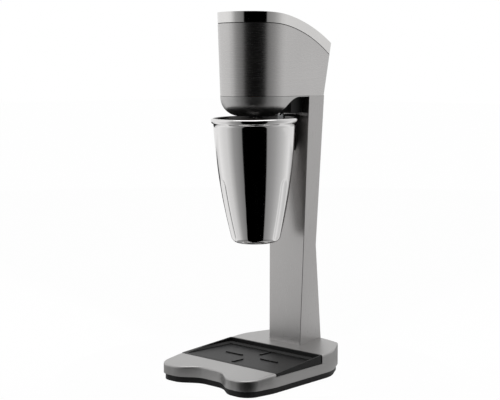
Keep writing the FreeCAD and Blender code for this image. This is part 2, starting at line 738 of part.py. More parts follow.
# ---------------------------------------------------------------- column
def column_block(label, side_gap="0", front_gap="0", rear_gap="0", low="0", high="0"):
    """The column's form, drawn in at the sides, front and rear, and lengthened below and above."""
    foot_front = f"{deck_at(f'column_front + ({front_gap})')} - ({low})"
    foot_rear = f"{deck_at(f'column_rear - ({rear_gap})')} - ({low})"
    top = f"split_height + ({high})"
    profile = body(label + "_profile")
    pad(profile, outline(profile, label + "_side_view", "YZ_Plane", [
        (f"{column_face(foot_front)} + ({front_gap})", foot_front),
        (f"{column_back(foot_rear)} - ({rear_gap})", foot_rear),
        (f"waist_rear - ({rear_gap})", "waist_height"),
        (f"{column_upper_back(top)} - ({rear_gap})", top),
        (f"{column_face(top)} + ({front_gap})", top)]), "base_depth", both=True)
    flare = body(label + "_flare")
    pad(flare, outline(flare, label + "_front_view", "XZ_Plane", [
        (f"-({column_side('0')} - ({side_gap}))", "0"), (f"{column_side('0')} - ({side_gap})", "0"),
        (f"{column_side(top)} - ({side_gap})", top), (f"-({column_side(top)} - ({side_gap}))", top)]),
        "2 * base_depth", both=True)
    return common(label, profile, flare)


column_outer = column_block("column_outer")
column_room = column_block("column_room", "column_wall", "column_wall", "-base_depth / 4", "10", "10")
lip_strip = column_block("lip_strip", "column_wall", "base_depth / 12", "column_wall + cover_gap")
lip_room = column_block("lip_room", "column_wall + lip_width", "0", "-base_depth / 4", "10", "10")
lip_front = column_block("lip_front", "0", "-base_depth / 4", "2 * column_wall + cover_gap", "10", "10")
column_lips = cut("column_lips", lip_strip, lip_room, lip_front)
column_skin = cut("column_skin", column_outer, column_room)
column_whole = fuse("column_whole", column_skin, column_lips)

cover_slab = column_block("cover_slab", "column_wall + cover_gap", "base_depth / 12", "0")
cover_room = column_block("cover_room", "0", "-base_depth / 4", "column_wall", "10", "10")
cover_blank = cut("cover_blank", cover_slab, cover_room)

back_slope = f"atan((column_rear - waist_rear) / (waist_height - ({deck_at('column_rear')})))"


def gland_rod(label, radius, height, start):
    """A rod square to the back cover, starting a distance behind its rear face and pointing inward."""
    y = f"({column_back('gland_height')}) + ({start}) * cos({back_slope})"
    z = f"gland_height + ({start}) * sin({back_slope})"
    return rod(label, radius, height, "0", y, z, ALONG_X, f"90 deg + {back_slope}")


gland_hole = gland_rod("gland_hole", "gland_radius", "4 * column_wall", "2 * column_wall")
cover_screw_heights = ("waist_height / 2", "waist_height - 2 * lip_width", "(waist_height + split_height) / 2",
                       "split_height - 5 * lip_width")


def cover_screw_spots():
    """Places of the back cover's screws on its rear face."""
    spots = []
    for z in cover_screw_heights:
        back = column_back(z)
        if worth(z) > worth("waist_height"):
            back = column_upper_back(z)
        for sign in ("-", ""):
            spots.append((f"{sign}({column_side(z)} - column_wall - lip_width / 2)", back, z))
    return spots


cover_holes = [rod(f"cover_screw_hole_{i}", "screw_radius", "6 * column_wall", x, f"{y} + column_wall", z,
                   ALONG_X, "90") for i, (x, y, z) in enumerate(cover_screw_spots())]
column_shell_blank = cut("column_shell_blank", column_whole, *cover_holes)
column_back_cover = node(cut("back_cover_cut", cover_blank, gland_hole, *cover_holes), "column_back_cover")
back_cover_screws = node(group("cover_screw_group", [
    screw(f"cover_screw_{i}", x, f"{y} + 0.35 * column_wall", z, ALONG_X, "90", length="4 * column_wall")
    for i, (x, y, z) in enumerate(cover_screw_spots())]), "back_cover_screws")

gland_body = fuse("gland_body", gland_rod("gland_barrel", "gland_radius", "5 * column_wall", "column_wall"),
                  gland_rod("gland_rim", "gland_flange", "2 * column_wall", "2.6 * column_wall"))
cable_gland = node(cut("gland_cut", gland_body,
                       gland_rod("gland_bore_rod", "gland_bore", "12 * column_wall", "4 * column_wall")),
                   "cable_gland")

post = body("inner_post")
pad(post, outline(post, "inner_post_plan", "XY_Plane", [
    ("-frame_half", "frame_front"), ("frame_half", "frame_front"), ("frame_half", "frame_rear"),
    ("frame_half - frame_wall", "frame_rear"), ("frame_half - frame_wall", "frame_front + frame_wall"),
    ("frame_wall - frame_half", "frame_front + frame_wall"), ("frame_wall - frame_half", "frame_rear"),
    ("-frame_half", "frame_rear")]), "platform_base")
flange = body("post_flange")
flange_front, flange_rear = "column_front + 2 * column_wall", "column_rear - 3 * column_wall"
pad(flange, outline(flange, "post_flange_side", "YZ_Plane", [
    (flange_front, deck_at(flange_front)), (flange_rear, deck_at(flange_rear)),
    (flange_rear, f"{deck_at(flange_rear)} + flange_thick"),
    (flange_front, f"{deck_at(flange_front)} + flange_thick")]),
    "2 * (column_half - 2 * column_wall)", both=True)
below_deck = body("below_deck")
pad(below_deck, outline(below_deck, "below_deck_side", "YZ_Plane", [
    ("0", deck_at("0")), ("0", "-deck_front"), (BEYOND, "-deck_front"), (BEYOND, deck_at(BEYOND))]),
    "base_depth", both=True)
flange_holes = deck_stack("flange_hole", "bolt_radius", "4 * flange_thick", "-flange_thick")
cable_slot = rod("flange_cable_hole", "gland_radius", "base_depth / 4", "0", "frame_rear + base_wall", "plate_top")
open_post = cut("open_post", fuse("post_and_flange", post, flange), below_deck, cable_slot, *flange_holes)

shanks = deck_stack("bolt_shank", "bolt_radius", "flange_thick + 6 * base_wall", "-5 * base_wall")
heads = deck_stack("bolt_head", "bolt_head", "flange_thick", "flange_thick")
bolts = [fuse(f"column_bolt_{i}", shank, head) for i, (shank, head) in enumerate(zip(shanks, heads))]
column_bolts = node(group("column_bolt_group", bolts), "column_bolts")
nuts = [cut(f"column_nut_{i}", body_rod, bore) for i, (body_rod, bore) in enumerate(zip(
    deck_stack("nut_blank", "bolt_head", "flange_thick", "-flange_thick - base_wall / cos(deck_angle)"),
    deck_stack("nut_bore", "bolt_radius", "4 * flange_thick", "-3 * flange_thick")))]
column_nuts = node(group("column_nut_group", nuts), "column_nuts")
terminal_block = node(box("terminal_block_box", (
    "-terminal_half", "frame_front + frame_wall", "gland_height - terminal_height / 4"), (
    "terminal_half", "frame_rear - frame_wall", "gland_height + 3 * terminal_height / 4")), "terminal_block")


# ---------------------------------------------------------------- head
def teardrop(owner, name, inset, height):
    """The head's outline in plan at a height: round front, flat sides, flat rear with round corners."""
    rise = f"(({height}) - split_height)"
    radius = f"(head_radius + {rise} * tan(head_draft) - ({inset}))"
    rear = f"(head_rear + {rise} * tan(head_lean) - ({inset}))"
    near_x, near_y = f"{radius} * cos(head_side)", f"{SPINDLE} + {radius} * sin(head_side)"
    far_x = f"({radius} - ({rear} + spindle_set) * sin(head_side)) / cos(head_side)"
    corner = f"(head_corner - ({inset}) * 0.9)"
    run = f"{corner} * tan(45 - head_side / 2)"
    side_x, side_y = f"{far_x} + {run} * sin(head_side)", f"{rear} - {run} * cos(head_side)"
    return outline(owner, name, "XY_Plane", [
        (f"-({near_x})", near_y, radius), ("0", f"{SPINDLE} - {radius}", radius),
        (near_x, near_y), (side_x, side_y, corner),
        (f"{far_x} - {run}", rear), (f"{run} - {far_x}", rear, corner), (f"-({side_x})", side_y)], height)


def head_block(label, inset="0", low="split_height", high="crown_height + edge_round"):
    """The head's form between two heights, drawn in by inset."""
    made = body(label)
    loft = made.newObject("PartDesign::AdditiveLoft", label + "_loft")
    loft.Profile = teardrop(made, label + "_low", inset, low)
    loft.Sections = [teardrop(made, label + "_high", inset, high)]
    loft.Ruled = True
    made.Tip = loft
    doc.recompute()
    return made


def above(label, lift, height, flat, radius, top="2 * crown_height"):
    """Everything above a crown line, which is level in front and falls as an arc to the rear."""
    made = body(label)
    far = "head_rear + 3 * head_wall + (crown_height - split_height) * tan(head_lean)"
    pad(made, outline(made, label + "_side_view", "YZ_Plane", [
        (flat, f"{height} + ({lift})", f"-({radius})"),
        (far, f"{height} + ({lift}) - {fall(far, flat, radius)}"),
        (far, top), (f"-({BEYOND})", top), (f"-({BEYOND})", f"{height} + ({lift})")]), BEYOND, both=True)
    return made


SEAM = ("seam_height", "seam_flat", "seam_radius")
CROWN = ("crown_height", "crown_flat", "crown_radius")

head_outer = head_block("head_outer")
head_room = head_block("head_room", "head_wall", "split_height - head_wall", "crown_height + 2 * edge_round")
shell_ring = cut("head_ring", head_outer, head_room)
head_shell = node(cut("head_shell_cut", shell_ring, above("over_seam", "0", *SEAM)), "head_shell")

gasket_ring = cut("gasket_ring", head_block("gasket_outer", "gasket_inset"),
                  head_block("gasket_room", "head_wall + gasket_inset", "split_height - head_wall",
                             "crown_height + 2 * edge_round"))
gasket_low = common("gasket_low", gasket_ring, above("from_seam", "0", *SEAM))
lid_gasket = node(cut("lid_gasket_cut", gasket_low, above("over_gasket", "gasket_thick", *SEAM)), "lid_gasket")

lid_raw = common("lid_raw", head_block("lid_outer"), above("from_gasket", "gasket_thick", *SEAM))
lid_full = cut("lid_full", lid_raw, above("over_crown", "0", *CROWN))
lid_room = cut("lid_room", head_block("lid_inner", "head_wall", "split_height - head_wall"),
               above("over_lid_room", "-head_wall", *CROWN))
lid_cup = cut("lid_cup", lid_full, lid_room)
lid_post_places = in_pairs(("stator_width / 3", f"{SPINDLE} + stator_depth / 2 + pillar_radius")) + [
    ("0", f"{SPINDLE} - stator_depth / 2 - pillar_radius")]
lid_posts = common("lid_posts", head_block("lid_post_limit", "head_wall"),
                   cut("lid_post_top", group("lid_post_rods", [
                       rod(f"lid_post_{i}", "2 * motor_bolt", "crown_height / 8", x, y, "yoke_base + yoke_thick")
                       for i, (x, y) in enumerate(lid_post_places)]),
                       above("over_posts", "-head_wall", *CROWN)))
lid_bores = [rod(f"lid_bore_{i}", "screw_radius", "4 * yoke_thick", x, y, "yoke_base") for i, (x, y) in
             enumerate(lid_post_places)]
lid = node(cut("lid_cut", fuse("lid_whole", lid_cup, lid_posts), *lid_bores), "lid")


def chin_block(label, inset, top):
    """The chin's form: the head's outline with a rounded underside and a hollow before the column."""
    made = body(label)
    pad(made, teardrop(made, label + "_plan", inset, f"split_height - seam_gap + ({top})"),
        f"chin_depth - seam_gap - ({inset}) + ({top})", down=True)
    dress(made, "Fillet", [end_face(made.Shape, -UP)], label + "_round", Radius=f"chin_round - ({inset})")
    radius = f"(arch_radius + ({inset}))"
    centre = "(split_height - seam_gap - ceiling_gap - arch_radius)"
    low = "(split_height - chin_depth - head_wall)"
    start = f"arch_end - sqrt({radius} ^ 2 - ({low} - {centre}) ^ 2)"
    pocket(made, outline(made, label + "_arch", "YZ_Plane", [
        (start, low, f"-{radius}"), ("arch_end", f"{centre} + {radius}"),
        (BEYOND, f"{centre} + {radius}"), (BEYOND, low)]), BEYOND, both=True)
    return made


chin_outer = chin_block("chin_outer", "0", "0")
chin_room = chin_block("chin_room", "head_wall", "0")
behind_face = body("column_space")
pad(behind_face, outline(behind_face, "column_space_side", "YZ_Plane", [
    (f"{column_face('0')} - rest_gap", "0"), (BEYOND, "0"), (BEYOND, "split_height"),
    (f"{column_face('split_height')} - rest_gap", "split_height")]), BEYOND, both=True)
chin_hole = rod("chin_hole", "seal_radius - head_wall", "chin_depth", "0", SPINDLE,
                "split_height - chin_depth - head_wall")
head_chin = node(cut("head_chin_cut", chin_outer, chin_room, behind_face, chin_hole), "head_chin")

# ---------------------------------------------------------------- motor
AXIS = dict(x="0", y=SPINDLE)
BOLT_SPOTS = [(f"{sx}motor_bolt_x", f"{SPINDLE} {sy} motor_bolt_y") for sx in ("-", "") for sy in ("-", "+")]


def at_bolts(label, radius, height, z):
    """A rod at each motor bolt."""
    return [rod(f"{label}_{i}", radius, height, x, y, z) for i, (x, y) in enumerate(BOLT_SPOTS)]


platform_blank = box("platform_blank", ("-platform_half", f"{SPINDLE} - platform_half", "platform_base"),
                     ("platform_half", "frame_rear", "platform_base + platform_thick"))
platform_bolt_spots = in_pairs(("platform_bolt", "frame_rear - platform_bolt / 2"))
post_cap = box("post_cap", ("-frame_half", "frame_front", "platform_base - platform_thick"),
               ("frame_half", "frame_rear", "platform_base"))
cap_holes = [rod(f"cap_hole_{i}", "bolt_radius", "4 * platform_thick", x, y, "platform_base - 2 * platform_thick")
             for i, (x, y) in enumerate(platform_bolt_spots)]
platform_bore = rod("platform_bore", "bush_radius", "3 * platform_thick", z="platform_base - platform_thick", **AXIS)
motor_platform = node(cut("motor_platform_cut", platform_blank, platform_bore, *cap_holes, *at_bolts(
    "platform_hole", "motor_bolt", "3 * platform_thick", "platform_base - platform_thick")), "motor_platform")
column_post = node(cut("column_post_cut", fuse("column_post_whole", open_post, post_cap), *cap_holes),
                   "column_post")
platform_bolts = node(group("platform_bolt_group", [
    screw(f"platform_bolt_{i}", x, y, "platform_base + platform_thick", ALONG_X, "180",
          length="2 * platform_thick + flange_thick", shank="bolt_radius", head="bolt_head",
          height="flange_thick") for i, (x, y) in enumerate(platform_bolt_spots)]), "platform_bolts")

lower_bush = node(tube("lower_bush_tube", "bush_radius", "shaft_radius + bush_gap", "bush_length",
                       z="platform_base + platform_thick - bush_length", **AXIS), "lower_bush")
upper_bush = node(tube("upper_bush_tube", "bush_radius", "shaft_radius + bush_gap", "bush_length / 2",
                       z="yoke_base", **AXIS), "upper_bush")

stator_box = box("stator_box", ("-stator_width / 2", f"{SPINDLE} - stator_depth / 2", "stator_base"),
                 ("stator_width / 2", f"{SPINDLE} + stator_depth / 2", "stator_base + stator_height"))
stator_bore = rod("stator_bore", "armature_radius + air_gap", "stator_height", z="stator_base", **AXIS)


def coil_frame(side, label, grow):
    """A field coil round one pole, on the left or the right, grown by a gap."""
    near, far = f"coil_near - ({grow})", f"coil_near + coil_thick + ({grow})"
    x0, x1 = (near, far) if side > 0 else (f"-({far})", f"-({near})")
    outer = box(label + "_outer", (x0, f"{SPINDLE} - coil_half - ({grow})", "stator_base - coil_band - coil_gap"),
                (x1, f"{SPINDLE} + coil_half + ({grow})", "stator_base + stator_height + coil_band + coil_gap"))
    inner = box(label + "_inner", (f"{x0} - coil_thick", f"{SPINDLE} - coil_half + coil_band + ({grow})",
                                   "stator_base - rest_gap"),
                (f"{x1} + coil_thick", f"{SPINDLE} + coil_half - coil_band - ({grow})",
                 "stator_base + stator_height + rest_gap"))
    return cut(label, outer, inner)


stator_core = node(cut("stator_cut", stator_box, stator_bore, coil_frame(1, "coil_slot_right", "coil_gap"),
                       coil_frame(-1, "coil_slot_left", "coil_gap"),
                       *at_bolts("stator_hole", "motor_bolt", "stator_height", "stator_base")), "stator_core")
field_coils = node(group("field_coil_group", [coil_frame(1, "coil_right", "0"), coil_frame(-1, "coil_left", "0")]),
                   "field_coils")
lower_pillars = [cut(f"lower_pillar_{i}", skin, bore) for i, (skin, bore) in enumerate(zip(
    at_bolts("low_pillar", "pillar_radius", "stator_base - platform_base - platform_thick",
             "platform_base + platform_thick"),
    at_bolts("low_pillar_bore", "motor_bolt", "stator_base", "platform_base")))]
upper_pillars = [cut(f"upper_pillar_{i}", skin, bore) for i, (skin, bore) in enumerate(zip(
    at_bolts("high_pillar", "pillar_radius", "yoke_base - stator_base - stator_height",
             "stator_base + stator_height"),
    at_bolts("high_pillar_bore", "motor_bolt", "stator_base", "platform_base")))]
motor_pillars = node(group("motor_pillar_group", lower_pillars + upper_pillars), "motor_pillars")
motor_bolts = node(group("motor_bolt_group", [
    screw(f"motor_bolt_{i}", x, y, "yoke_base + yoke_thick", ALONG_X, "180",
          length="yoke_base + yoke_thick - platform_base", shank="motor_bolt", head="pillar_radius",
          height="flange_thick") for i, (x, y) in enumerate(BOLT_SPOTS)]), "motor_bolts")

yoke_box = box("yoke_box", ("-stator_width / 2", f"{SPINDLE} - stator_depth / 2", "yoke_base"),
               ("stator_width / 2", f"{SPINDLE} + stator_depth / 2", "yoke_base + yoke_thick"))
yoke_tab = box("yoke_tab", ("-stator_width / 2", f"{SPINDLE} + stator_depth / 2", "yoke_base"),
               ("stator_width / 2", f"{SPINDLE} + stator_depth / 2 + 2.5 * pillar_radius",
                                  "yoke_base + yoke_thick"))
yoke_nose = box("yoke_nose", ("-2 * yoke_thick", f"{SPINDLE} - stator_depth / 2 - 2.5 * pillar_radius", "yoke_base"),
                ("2 * yoke_thick", f"{SPINDLE} - stator_depth / 2", "yoke_base + yoke_thick"))
lid_screw_holes = [rod(f"lid_screw_hole_{i}", "screw_radius", "3 * yoke_thick", x, y, "yoke_base - yoke_thick")
                   for i, (x, y) in enumerate(lid_post_places)]
upper_yoke = node(cut("upper_yoke_cut", fuse("yoke_whole", yoke_box, yoke_tab, yoke_nose),
                      rod("yoke_bore", "bush_radius", "3 * yoke_thick", z="yoke_base - yoke_thick", **AXIS),
                      *lid_screw_holes, *at_bolts("yoke_hole", "motor_bolt", "3 * yoke_thick",
                                                  "yoke_base - yoke_thick")), "upper_yoke")
lid_screws = node(group("lid_screw_group", [
    screw(f"lid_screw_{i}", x, y, "yoke_base", length="3 * yoke_thick")
    for i, (x, y) in enumerate(lid_post_places)]), "lid_screws")


def radial(label, low, high, side, half, z0, z1):
    """A block along Y between two distances from the spindle's axis, in front (-1) or behind (1)."""
    y0, y1 = (f"{SPINDLE} + {low}", f"{SPINDLE} + {high}") if side > 0 else (
        f"{SPINDLE} - ({high})", f"{SPINDLE} - ({low})")
    return box(label, (f"-({half})", y0, z0), (half, y1, z1))


brush_low = "commutator_base + (commutator_height - brush_height) / 2"
brush_high = f"{brush_low} + brush_height"
brush_in, brush_out = "(commutator_radius + brush_gap)", "(commutator_radius + brush_gap + brush_length)"
holder_in = "(commutator_radius + 4 * brush_gap)"
holder_out = f"({holder_in} + holder_length)"
holders, brushes, springs = [], [], []
for side in (-1, 1):
    name = "front" if side < 0 else "rear"
    case = radial(f"holder_case_{name}", holder_in, holder_out, side, "brush_width / 2 + holder_wall",
                  f"{brush_low} - holder_wall", "yoke_base")
    room = radial(f"holder_room_{name}", "0", f"{holder_out} - holder_wall", side, "brush_width / 2",
                  brush_low, brush_high)
    holders.append(cut(f"holder_{name}", case, room))
    brushes.append(radial(f"brush_{name}", brush_in, brush_out, side, "brush_width / 2", brush_low, brush_high))
    coil = coil_spring(f"brush_spring_{name}", "brush_width / 2 - 2 * spring_wire",
                       f"{holder_out} - holder_wall - {brush_out} - 2 * spring_wire")
    seat = f"{SPINDLE} + {side} * ({brush_out} + spring_wire)"
    springs.append(place(coil, "0", seat, f"({brush_low} + {brush_high}) / 2", ALONG_X, str(-90 * side)))
brush_holders = node(group("brush_holder_group", holders), "brush_holders")
carbon_brushes = node(group("carbon_brush_group", brushes), "carbon_brushes")
brush_springs = node(group("brush_spring_group", springs), "brush_springs")

# ---------------------------------------------------------------- rotor
motor_shaft = node(rod("motor_shaft_rod", "shaft_radius",
                       "yoke_base + bush_length / 2 + rest_gap - coupling_base - coupling_height / 2",
                       z="coupling_base + coupling_height / 2", **AXIS), "motor_shaft")

fan = body("cooling_fan_body")
fan_plan = ring_sketch(fan, "fan_hub_plan", "fan_hub", "fan_base")
pad(fan, fan_plan, "fan_height")
blade = outline(fan, "fan_blade_plan", "XY_Plane", [
    ("fan_hub - fan_blade", "-fan_blade"), ("fan_radius", "fan_sweep - fan_blade"), ("fan_radius", "fan_sweep + fan_blade"),
    ("fan_hub - fan_blade", "fan_blade")], "fan_base")
array(fan, pad(fan, blade, "fan_height"), "fan_blades", fan_plan)
pocket(fan, ring_sketch(fan, "fan_bore_plan", "shaft_radius", "fan_base"), "fan_height", up=True)
cooling_fan = node(place(fan, **AXIS), "cooling_fan")

core = body("armature_core_body")
core_plan = ring_sketch(core, "core_plan", "armature_radius", "stator_base")
pad(core, core_plan, "stator_height")
slot = outline(core, "core_slot_plan", "XY_Plane", [
    ("armature_radius - slot_depth", "-slot_width"), ("armature_radius + air_gap", "-slot_width / 2"),
    ("armature_radius + air_gap", "slot_width / 2"), ("armature_radius - slot_depth", "slot_width")], "stator_base")
array(core, pocket(core, slot, "stator_height", up=True), "armature_slots", core_plan)
pocket(core, ring_sketch(core, "core_bore_plan", "shaft_radius", "stator_base"), "stator_height", up=True)
armature_core = node(place(core, **AXIS), "armature_core")

armature_windings = node(group("winding_group", [
    tube("winding_low", "winding_radius", "shaft_radius", "winding_height", z="stator_base - winding_height",
         **AXIS),
    tube("winding_high", "winding_radius", "shaft_radius", "winding_height",
         z="stator_base + stator_height", **AXIS)]), "armature_windings")

drum = body("commutator_body")
drum_plan = ring_sketch(drum, "drum_plan", "commutator_radius", "commutator_base")
pad(drum, drum_plan, "commutator_height")
slit = outline(drum, "drum_slit_plan", "XY_Plane", [
    ("commutator_radius - 2 * slit_width", "-slit_width / 2"), ("commutator_radius + slit_width", "-slit_width / 2"),
    ("commutator_radius + slit_width", "slit_width / 2"), ("commutator_radius - 2 * slit_width", "slit_width / 2")],
    "commutator_base")
array(drum, pocket(drum, slit, "commutator_height", up=True), "armature_slots", drum_plan)
pocket(drum, ring_sketch(drum, "drum_bore_plan", "shaft_radius", "commutator_base"), "commutator_height", up=True)
commutator = node(place(drum, **AXIS), "commutator")

spindle_coupling = node(tube("coupling_tube", "coupling_radius", "shaft_radius", "coupling_height",
                             z="coupling_base", **AXIS), "spindle_coupling")
stem_tip = "(agitator_height - nut_height)"
spindle_upper = rod("spindle_upper", "shaft_radius", "coupling_base + coupling_height / 2 - neck_height",
                    z="neck_height", **AXIS)
spindle_lower = rod("spindle_lower", "stem_radius", f"neck_height - {stem_tip}", z=stem_tip, **AXIS)
agitator_shaft = node(fuse("agitator_shaft_whole", spindle_upper, spindle_lower), "agitator_shaft")

whisk = body("agitator_body")
whisk_plan = ring_sketch(whisk, "whisk_plan", "agitator_radius", "agitator_height")
pad(whisk, whisk_plan, "agitator_thick")
bite = ring_sketch(whisk, "whisk_notch_plan", "agitator_radius / 6", "agitator_height", "agitator_radius")
array(whisk, pocket(whisk, bite, "agitator_thick", up=True), "agitator_notches", whisk_plan)
pocket(whisk, ring_sketch(whisk, "whisk_bore_plan", "stem_radius", "agitator_height"), "agitator_thick", up=True)
agitator_disc = node(place(whisk, **AXIS), "agitator_disc")
agitator_nut = node(tube("agitator_nut_tube", "nut_radius", "stem_radius", "nut_height", z=stem_tip, **AXIS),
                    "agitator_nut")
splash_seal = node(cut("splash_seal_cut", fuse("splash_seal_solid",
    rod("seal_rim", "seal_radius", "head_wall", z="split_height - chin_depth - head_wall", **AXIS),
    rod("seal_neck", "seal_radius - head_wall", "2 * head_wall", z="split_height - chin_depth - head_wall",
        **AXIS)), rod("seal_bore", "shaft_radius + seal_gap", "3 * head_wall",
                      z="split_height - chin_depth - 1.5 * head_wall", **AXIS)), "splash_seal")

# ---------------------------------------------------------------- cup
CUP = dict(x="0", y="-cup_set", z="rim_height", axis=ALONG_X, angle="cup_tilt")


def cup_form(label, wall):
    """The cup's form turned about its axis, thinned by wall; its own zero is the bead's centre."""
    made = body(label)
    foot = f"-cup_height + ({wall})"
    top = "0" if wall == "0" else "2 * bead_radius"
    spin(made, outline(made, label + "_profile", "XZ_Plane", [
        ("0", top), (f"cup_radius - ({wall})", top, "-cup_bulge"),
        (f"cup_foot - ({wall})", f"{foot} + cup_corner", "-1.3 * cup_corner"),
        (f"cup_foot - ({wall}) - 1.27 * cup_corner", foot), ("0", foot)]))
    return made


def cup_skin_at(depth):
    """Radius of the cup's outer wall at a depth below the bead's centre."""
    radius, foot, bulge = worth("cup_radius"), worth("cup_foot"), worth("cup_bulge")
    drop = worth("cup_height - cup_corner")
    chord = math.hypot(radius - foot, drop)
    reach = math.sqrt(bulge ** 2 - chord ** 2 / 4)
    centre_x = (radius + foot) / 2 - reach * drop / chord
    centre_depth = drop / 2 - reach * (radius - foot) / chord
    return centre_x + math.sqrt(bulge ** 2 - (depth - centre_depth) ** 2)


def flute_ring(label, wall):
    """Long round-ended tools that press the flutes, thickened by wall."""
    outward = worth("flute_radius - flute_depth")
    top, foot = worth("flute_top"), worth("flute_foot")
    high, low = (V(cup_skin_at(depth) + outward, 0, -depth) for depth in (top, foot))
    radius = worth("flute_radius") + wall
    run = Part.makeCylinder(radius, (high - low).Length, low, high - low)
    tool = run.fuse([Part.makeSphere(radius, low), Part.makeSphere(radius, high)]).removeSplitter()
    copies = []
    for turn in range(int(worth("flutes"))):
        copy = tool.copy()
        copy.rotate(V(), UP, worth("flute_turn") + turn * 360 / worth("flutes"))
        copies.append(copy)
    made = doc.addObject("Part::Feature", label)
    made.Label = label
    made.Shape = Part.makeCompound(copies)
    return made


cup_outer = cut("cup_outer", cup_form("cup_skin", "0"), flute_ring("outer_flutes", 0))
cup_inner = cut("cup_inner", cup_form("cup_room", "cup_wall"), flute_ring("inner_flutes", worth("cup_wall")))
bead = body("cup_bead")
spin(bead, outline(bead, "cup_bead_profile", "XZ_Plane", [
    ("cup_radius - cup_wall", "-bead_radius"), ("cup_radius", "-bead_radius", "bead_radius"),
    ("cup_radius + bead_radius", "0", "bead_radius"), ("cup_radius", "bead_radius"),
    ("cup_radius - cup_wall", "bead_radius")]))
mixing_cup = node(fuse("mixing_cup_whole", cut("cup_wall_cut", cup_outer, cup_inner), bead), "mixing_cup")
place(mixing_cup, **CUP)

# ---------------------------------------------------------------- cup bracket and switch
bead_rear = "(cup_radius + bead_radius - cup_set)"
rim_top = "(rim_height + bead_radius + (cup_radius + bead_radius) * sin(cup_tilt))"
bracket_face = f"({bead_rear} + bracket_gap)"
clip_base = f"({rim_top} + clip_gap)"
bracket_blank = box("bracket_blank", ("-bracket_half", bracket_face, "bracket_foot"),
                    ("bracket_half", "column_front + base_wall * 6", clip_base))
bracket_slope = body("bracket_slope")
pad(bracket_slope, outline(bracket_slope, "bracket_slope_side", "YZ_Plane", [
    (bracket_face, "bracket_foot"), (column_face("bracket_foot"), "bracket_foot"),
    (bracket_face, f"bracket_foot + 2 * bracket_half")]), "3 * bracket_half", both=True)
before_column = body("before_column")
pad(before_column, outline(before_column, "before_column_side", "YZ_Plane", [
    (column_face("0"), "0"), (column_face("crown_height"), "crown_height"), (BEYOND, "crown_height"),
    (BEYOND, "0")]), BEYOND, both=True)
bracket_screw_heights = ("bracket_foot + 3 * screw_head", f"{clip_base} - 4 * screw_head")
bracket_bores = [rod(f"bracket_bore_{i}", "screw_radius", "8 * column_wall", "0", f"{column_face(z)} + 2 * column_wall", z,
                     ALONG_X, "90")
                 for i, z in enumerate(bracket_screw_heights)]
cup_bracket = node(cut("cup_bracket_cut", bracket_blank, bracket_slope, before_column, *bracket_bores),
                   "cup_bracket")
bracket_screws = node(group("bracket_screw_group", [
    screw(f"bracket_screw_{i}", "0", f"{column_face(z)} + column_wall + rest_gap", z, ALONG_X, "90",
          length="5 * column_wall")
    for i, z in enumerate(bracket_screw_heights)]), "bracket_screws")

clip_leg = "(cup_radius - cup_wall - cup_set - clip_gap - clip_thick)"
clip_strip = box("clip_strip", ("-clip_half", clip_leg, clip_base),
                 ("clip_half", f"{column_face(clip_base)} - rest_gap", f"{clip_base} + clip_thick"))
clip_inner = box("clip_inner", ("-clip_half", clip_leg, "rim_height - clip_drop"),
                 ("clip_half", f"{clip_leg} + clip_thick", f"{clip_base} + clip_thick"))
clip_hole = rod("clip_hole", "plunger_radius + 2 * rest_gap", "3 * clip_thick", "0", "cup_radius - cup_set",
                f"{clip_base} - clip_thick")
cup_clip = node(cut("cup_clip_cut", fuse("cup_clip_whole", clip_strip, clip_inner), clip_hole), "cup_clip")

SWITCH_TOP = "split_height - seam_gap - ceiling_gap"
switch_blank = box("switch_blank", ("-switch_half", "switch_front", "switch_foot"),
                   ("switch_half", "column_front + base_wall * 6", SWITCH_TOP))
switch_room = box("switch_room", ("switch_wall - switch_half", "switch_front + switch_wall",
                                  "switch_foot + switch_wall"),
                  ("switch_half - switch_wall", "column_front + base_wall * 6 + switch_wall",
                   f"{SWITCH_TOP} - switch_wall"))
guide = rod("plunger_guide", "plunger_radius + plunger_gap", "3 * switch_wall", "0", "cup_radius - cup_set",
            "switch_foot - switch_wall")
switch_housing = node(cut("switch_housing_cut", switch_blank, switch_room, before_column, guide),
                      "switch_housing")
plunger_low = f"({rim_top} + rest_gap)"
collar_base = "(switch_foot + switch_wall + rest_gap)"
nose_top = f"({collar_base} + collar_height + nose_height)"
switch_base = f"({nose_top} + plunger_travel + rest_gap)"
PLUNGER = dict(x="0", y="cup_radius - cup_set")
switch_plunger = node(fuse("plunger_whole", *[
    rod("plunger_rod", "plunger_radius", f"{collar_base} - {plunger_low}", z=plunger_low, **PLUNGER),
    rod("plunger_collar", "plunger_radius + collar_height", "collar_height", z=collar_base, **PLUNGER),
    rod("plunger_nose", "plunger_radius / 2", "nose_height", z=f"{collar_base} + collar_height", **PLUNGER)]),
    "switch_plunger")
microswitch = node(box("microswitch_box", (
    "-microswitch_half", "cup_radius - cup_set - microswitch_depth / 2", switch_base), (
    "microswitch_half", "cup_radius - cup_set + microswitch_depth / 2", f"{SWITCH_TOP} - switch_wall")),
    "microswitch")
plunger_spring = coil_spring("plunger_spring_wire", "plunger_radius - 2 * spring_wire",
                             f"{switch_base} - {collar_base} - collar_height - 2 * spring_wire")
node(place(plunger_spring, z=f"{collar_base} + collar_height + spring_wire", **PLUNGER), "plunger_spring")

column_shell = node(cut("column_shell_cut", column_shell_blank, *[
    rod(f"face_hole_{i}", "screw_radius", "8 * column_wall", "0", f"{column_face(z)} + 2 * column_wall", z, ALONG_X, "90")
    for i, z in enumerate(bracket_screw_heights)]), "column_shell")

# ---------------------------------------------------------------- checks and export
doc.recompute()
for thing in doc.Objects:
    if {"Invalid", "Error"} & set(thing.State):
        raise RuntimeError(f"{thing.Name} did not compute: {thing.State}")
os.makedirs("parts", exist_ok=True)
for thing in nodes:
    shape = thing.Shape
    if shape.isNull() or not shape.isValid() or not shape.Solids:
        raise RuntimeError(f"{thing.Label} has no valid solid")
    shape.exportStep(f"parts/{thing.Label}.step")
    print(f"{thing.Label:22s} {len(shape.Solids):3d} solids {shape.Volume / 1000:9.2f} cm3")
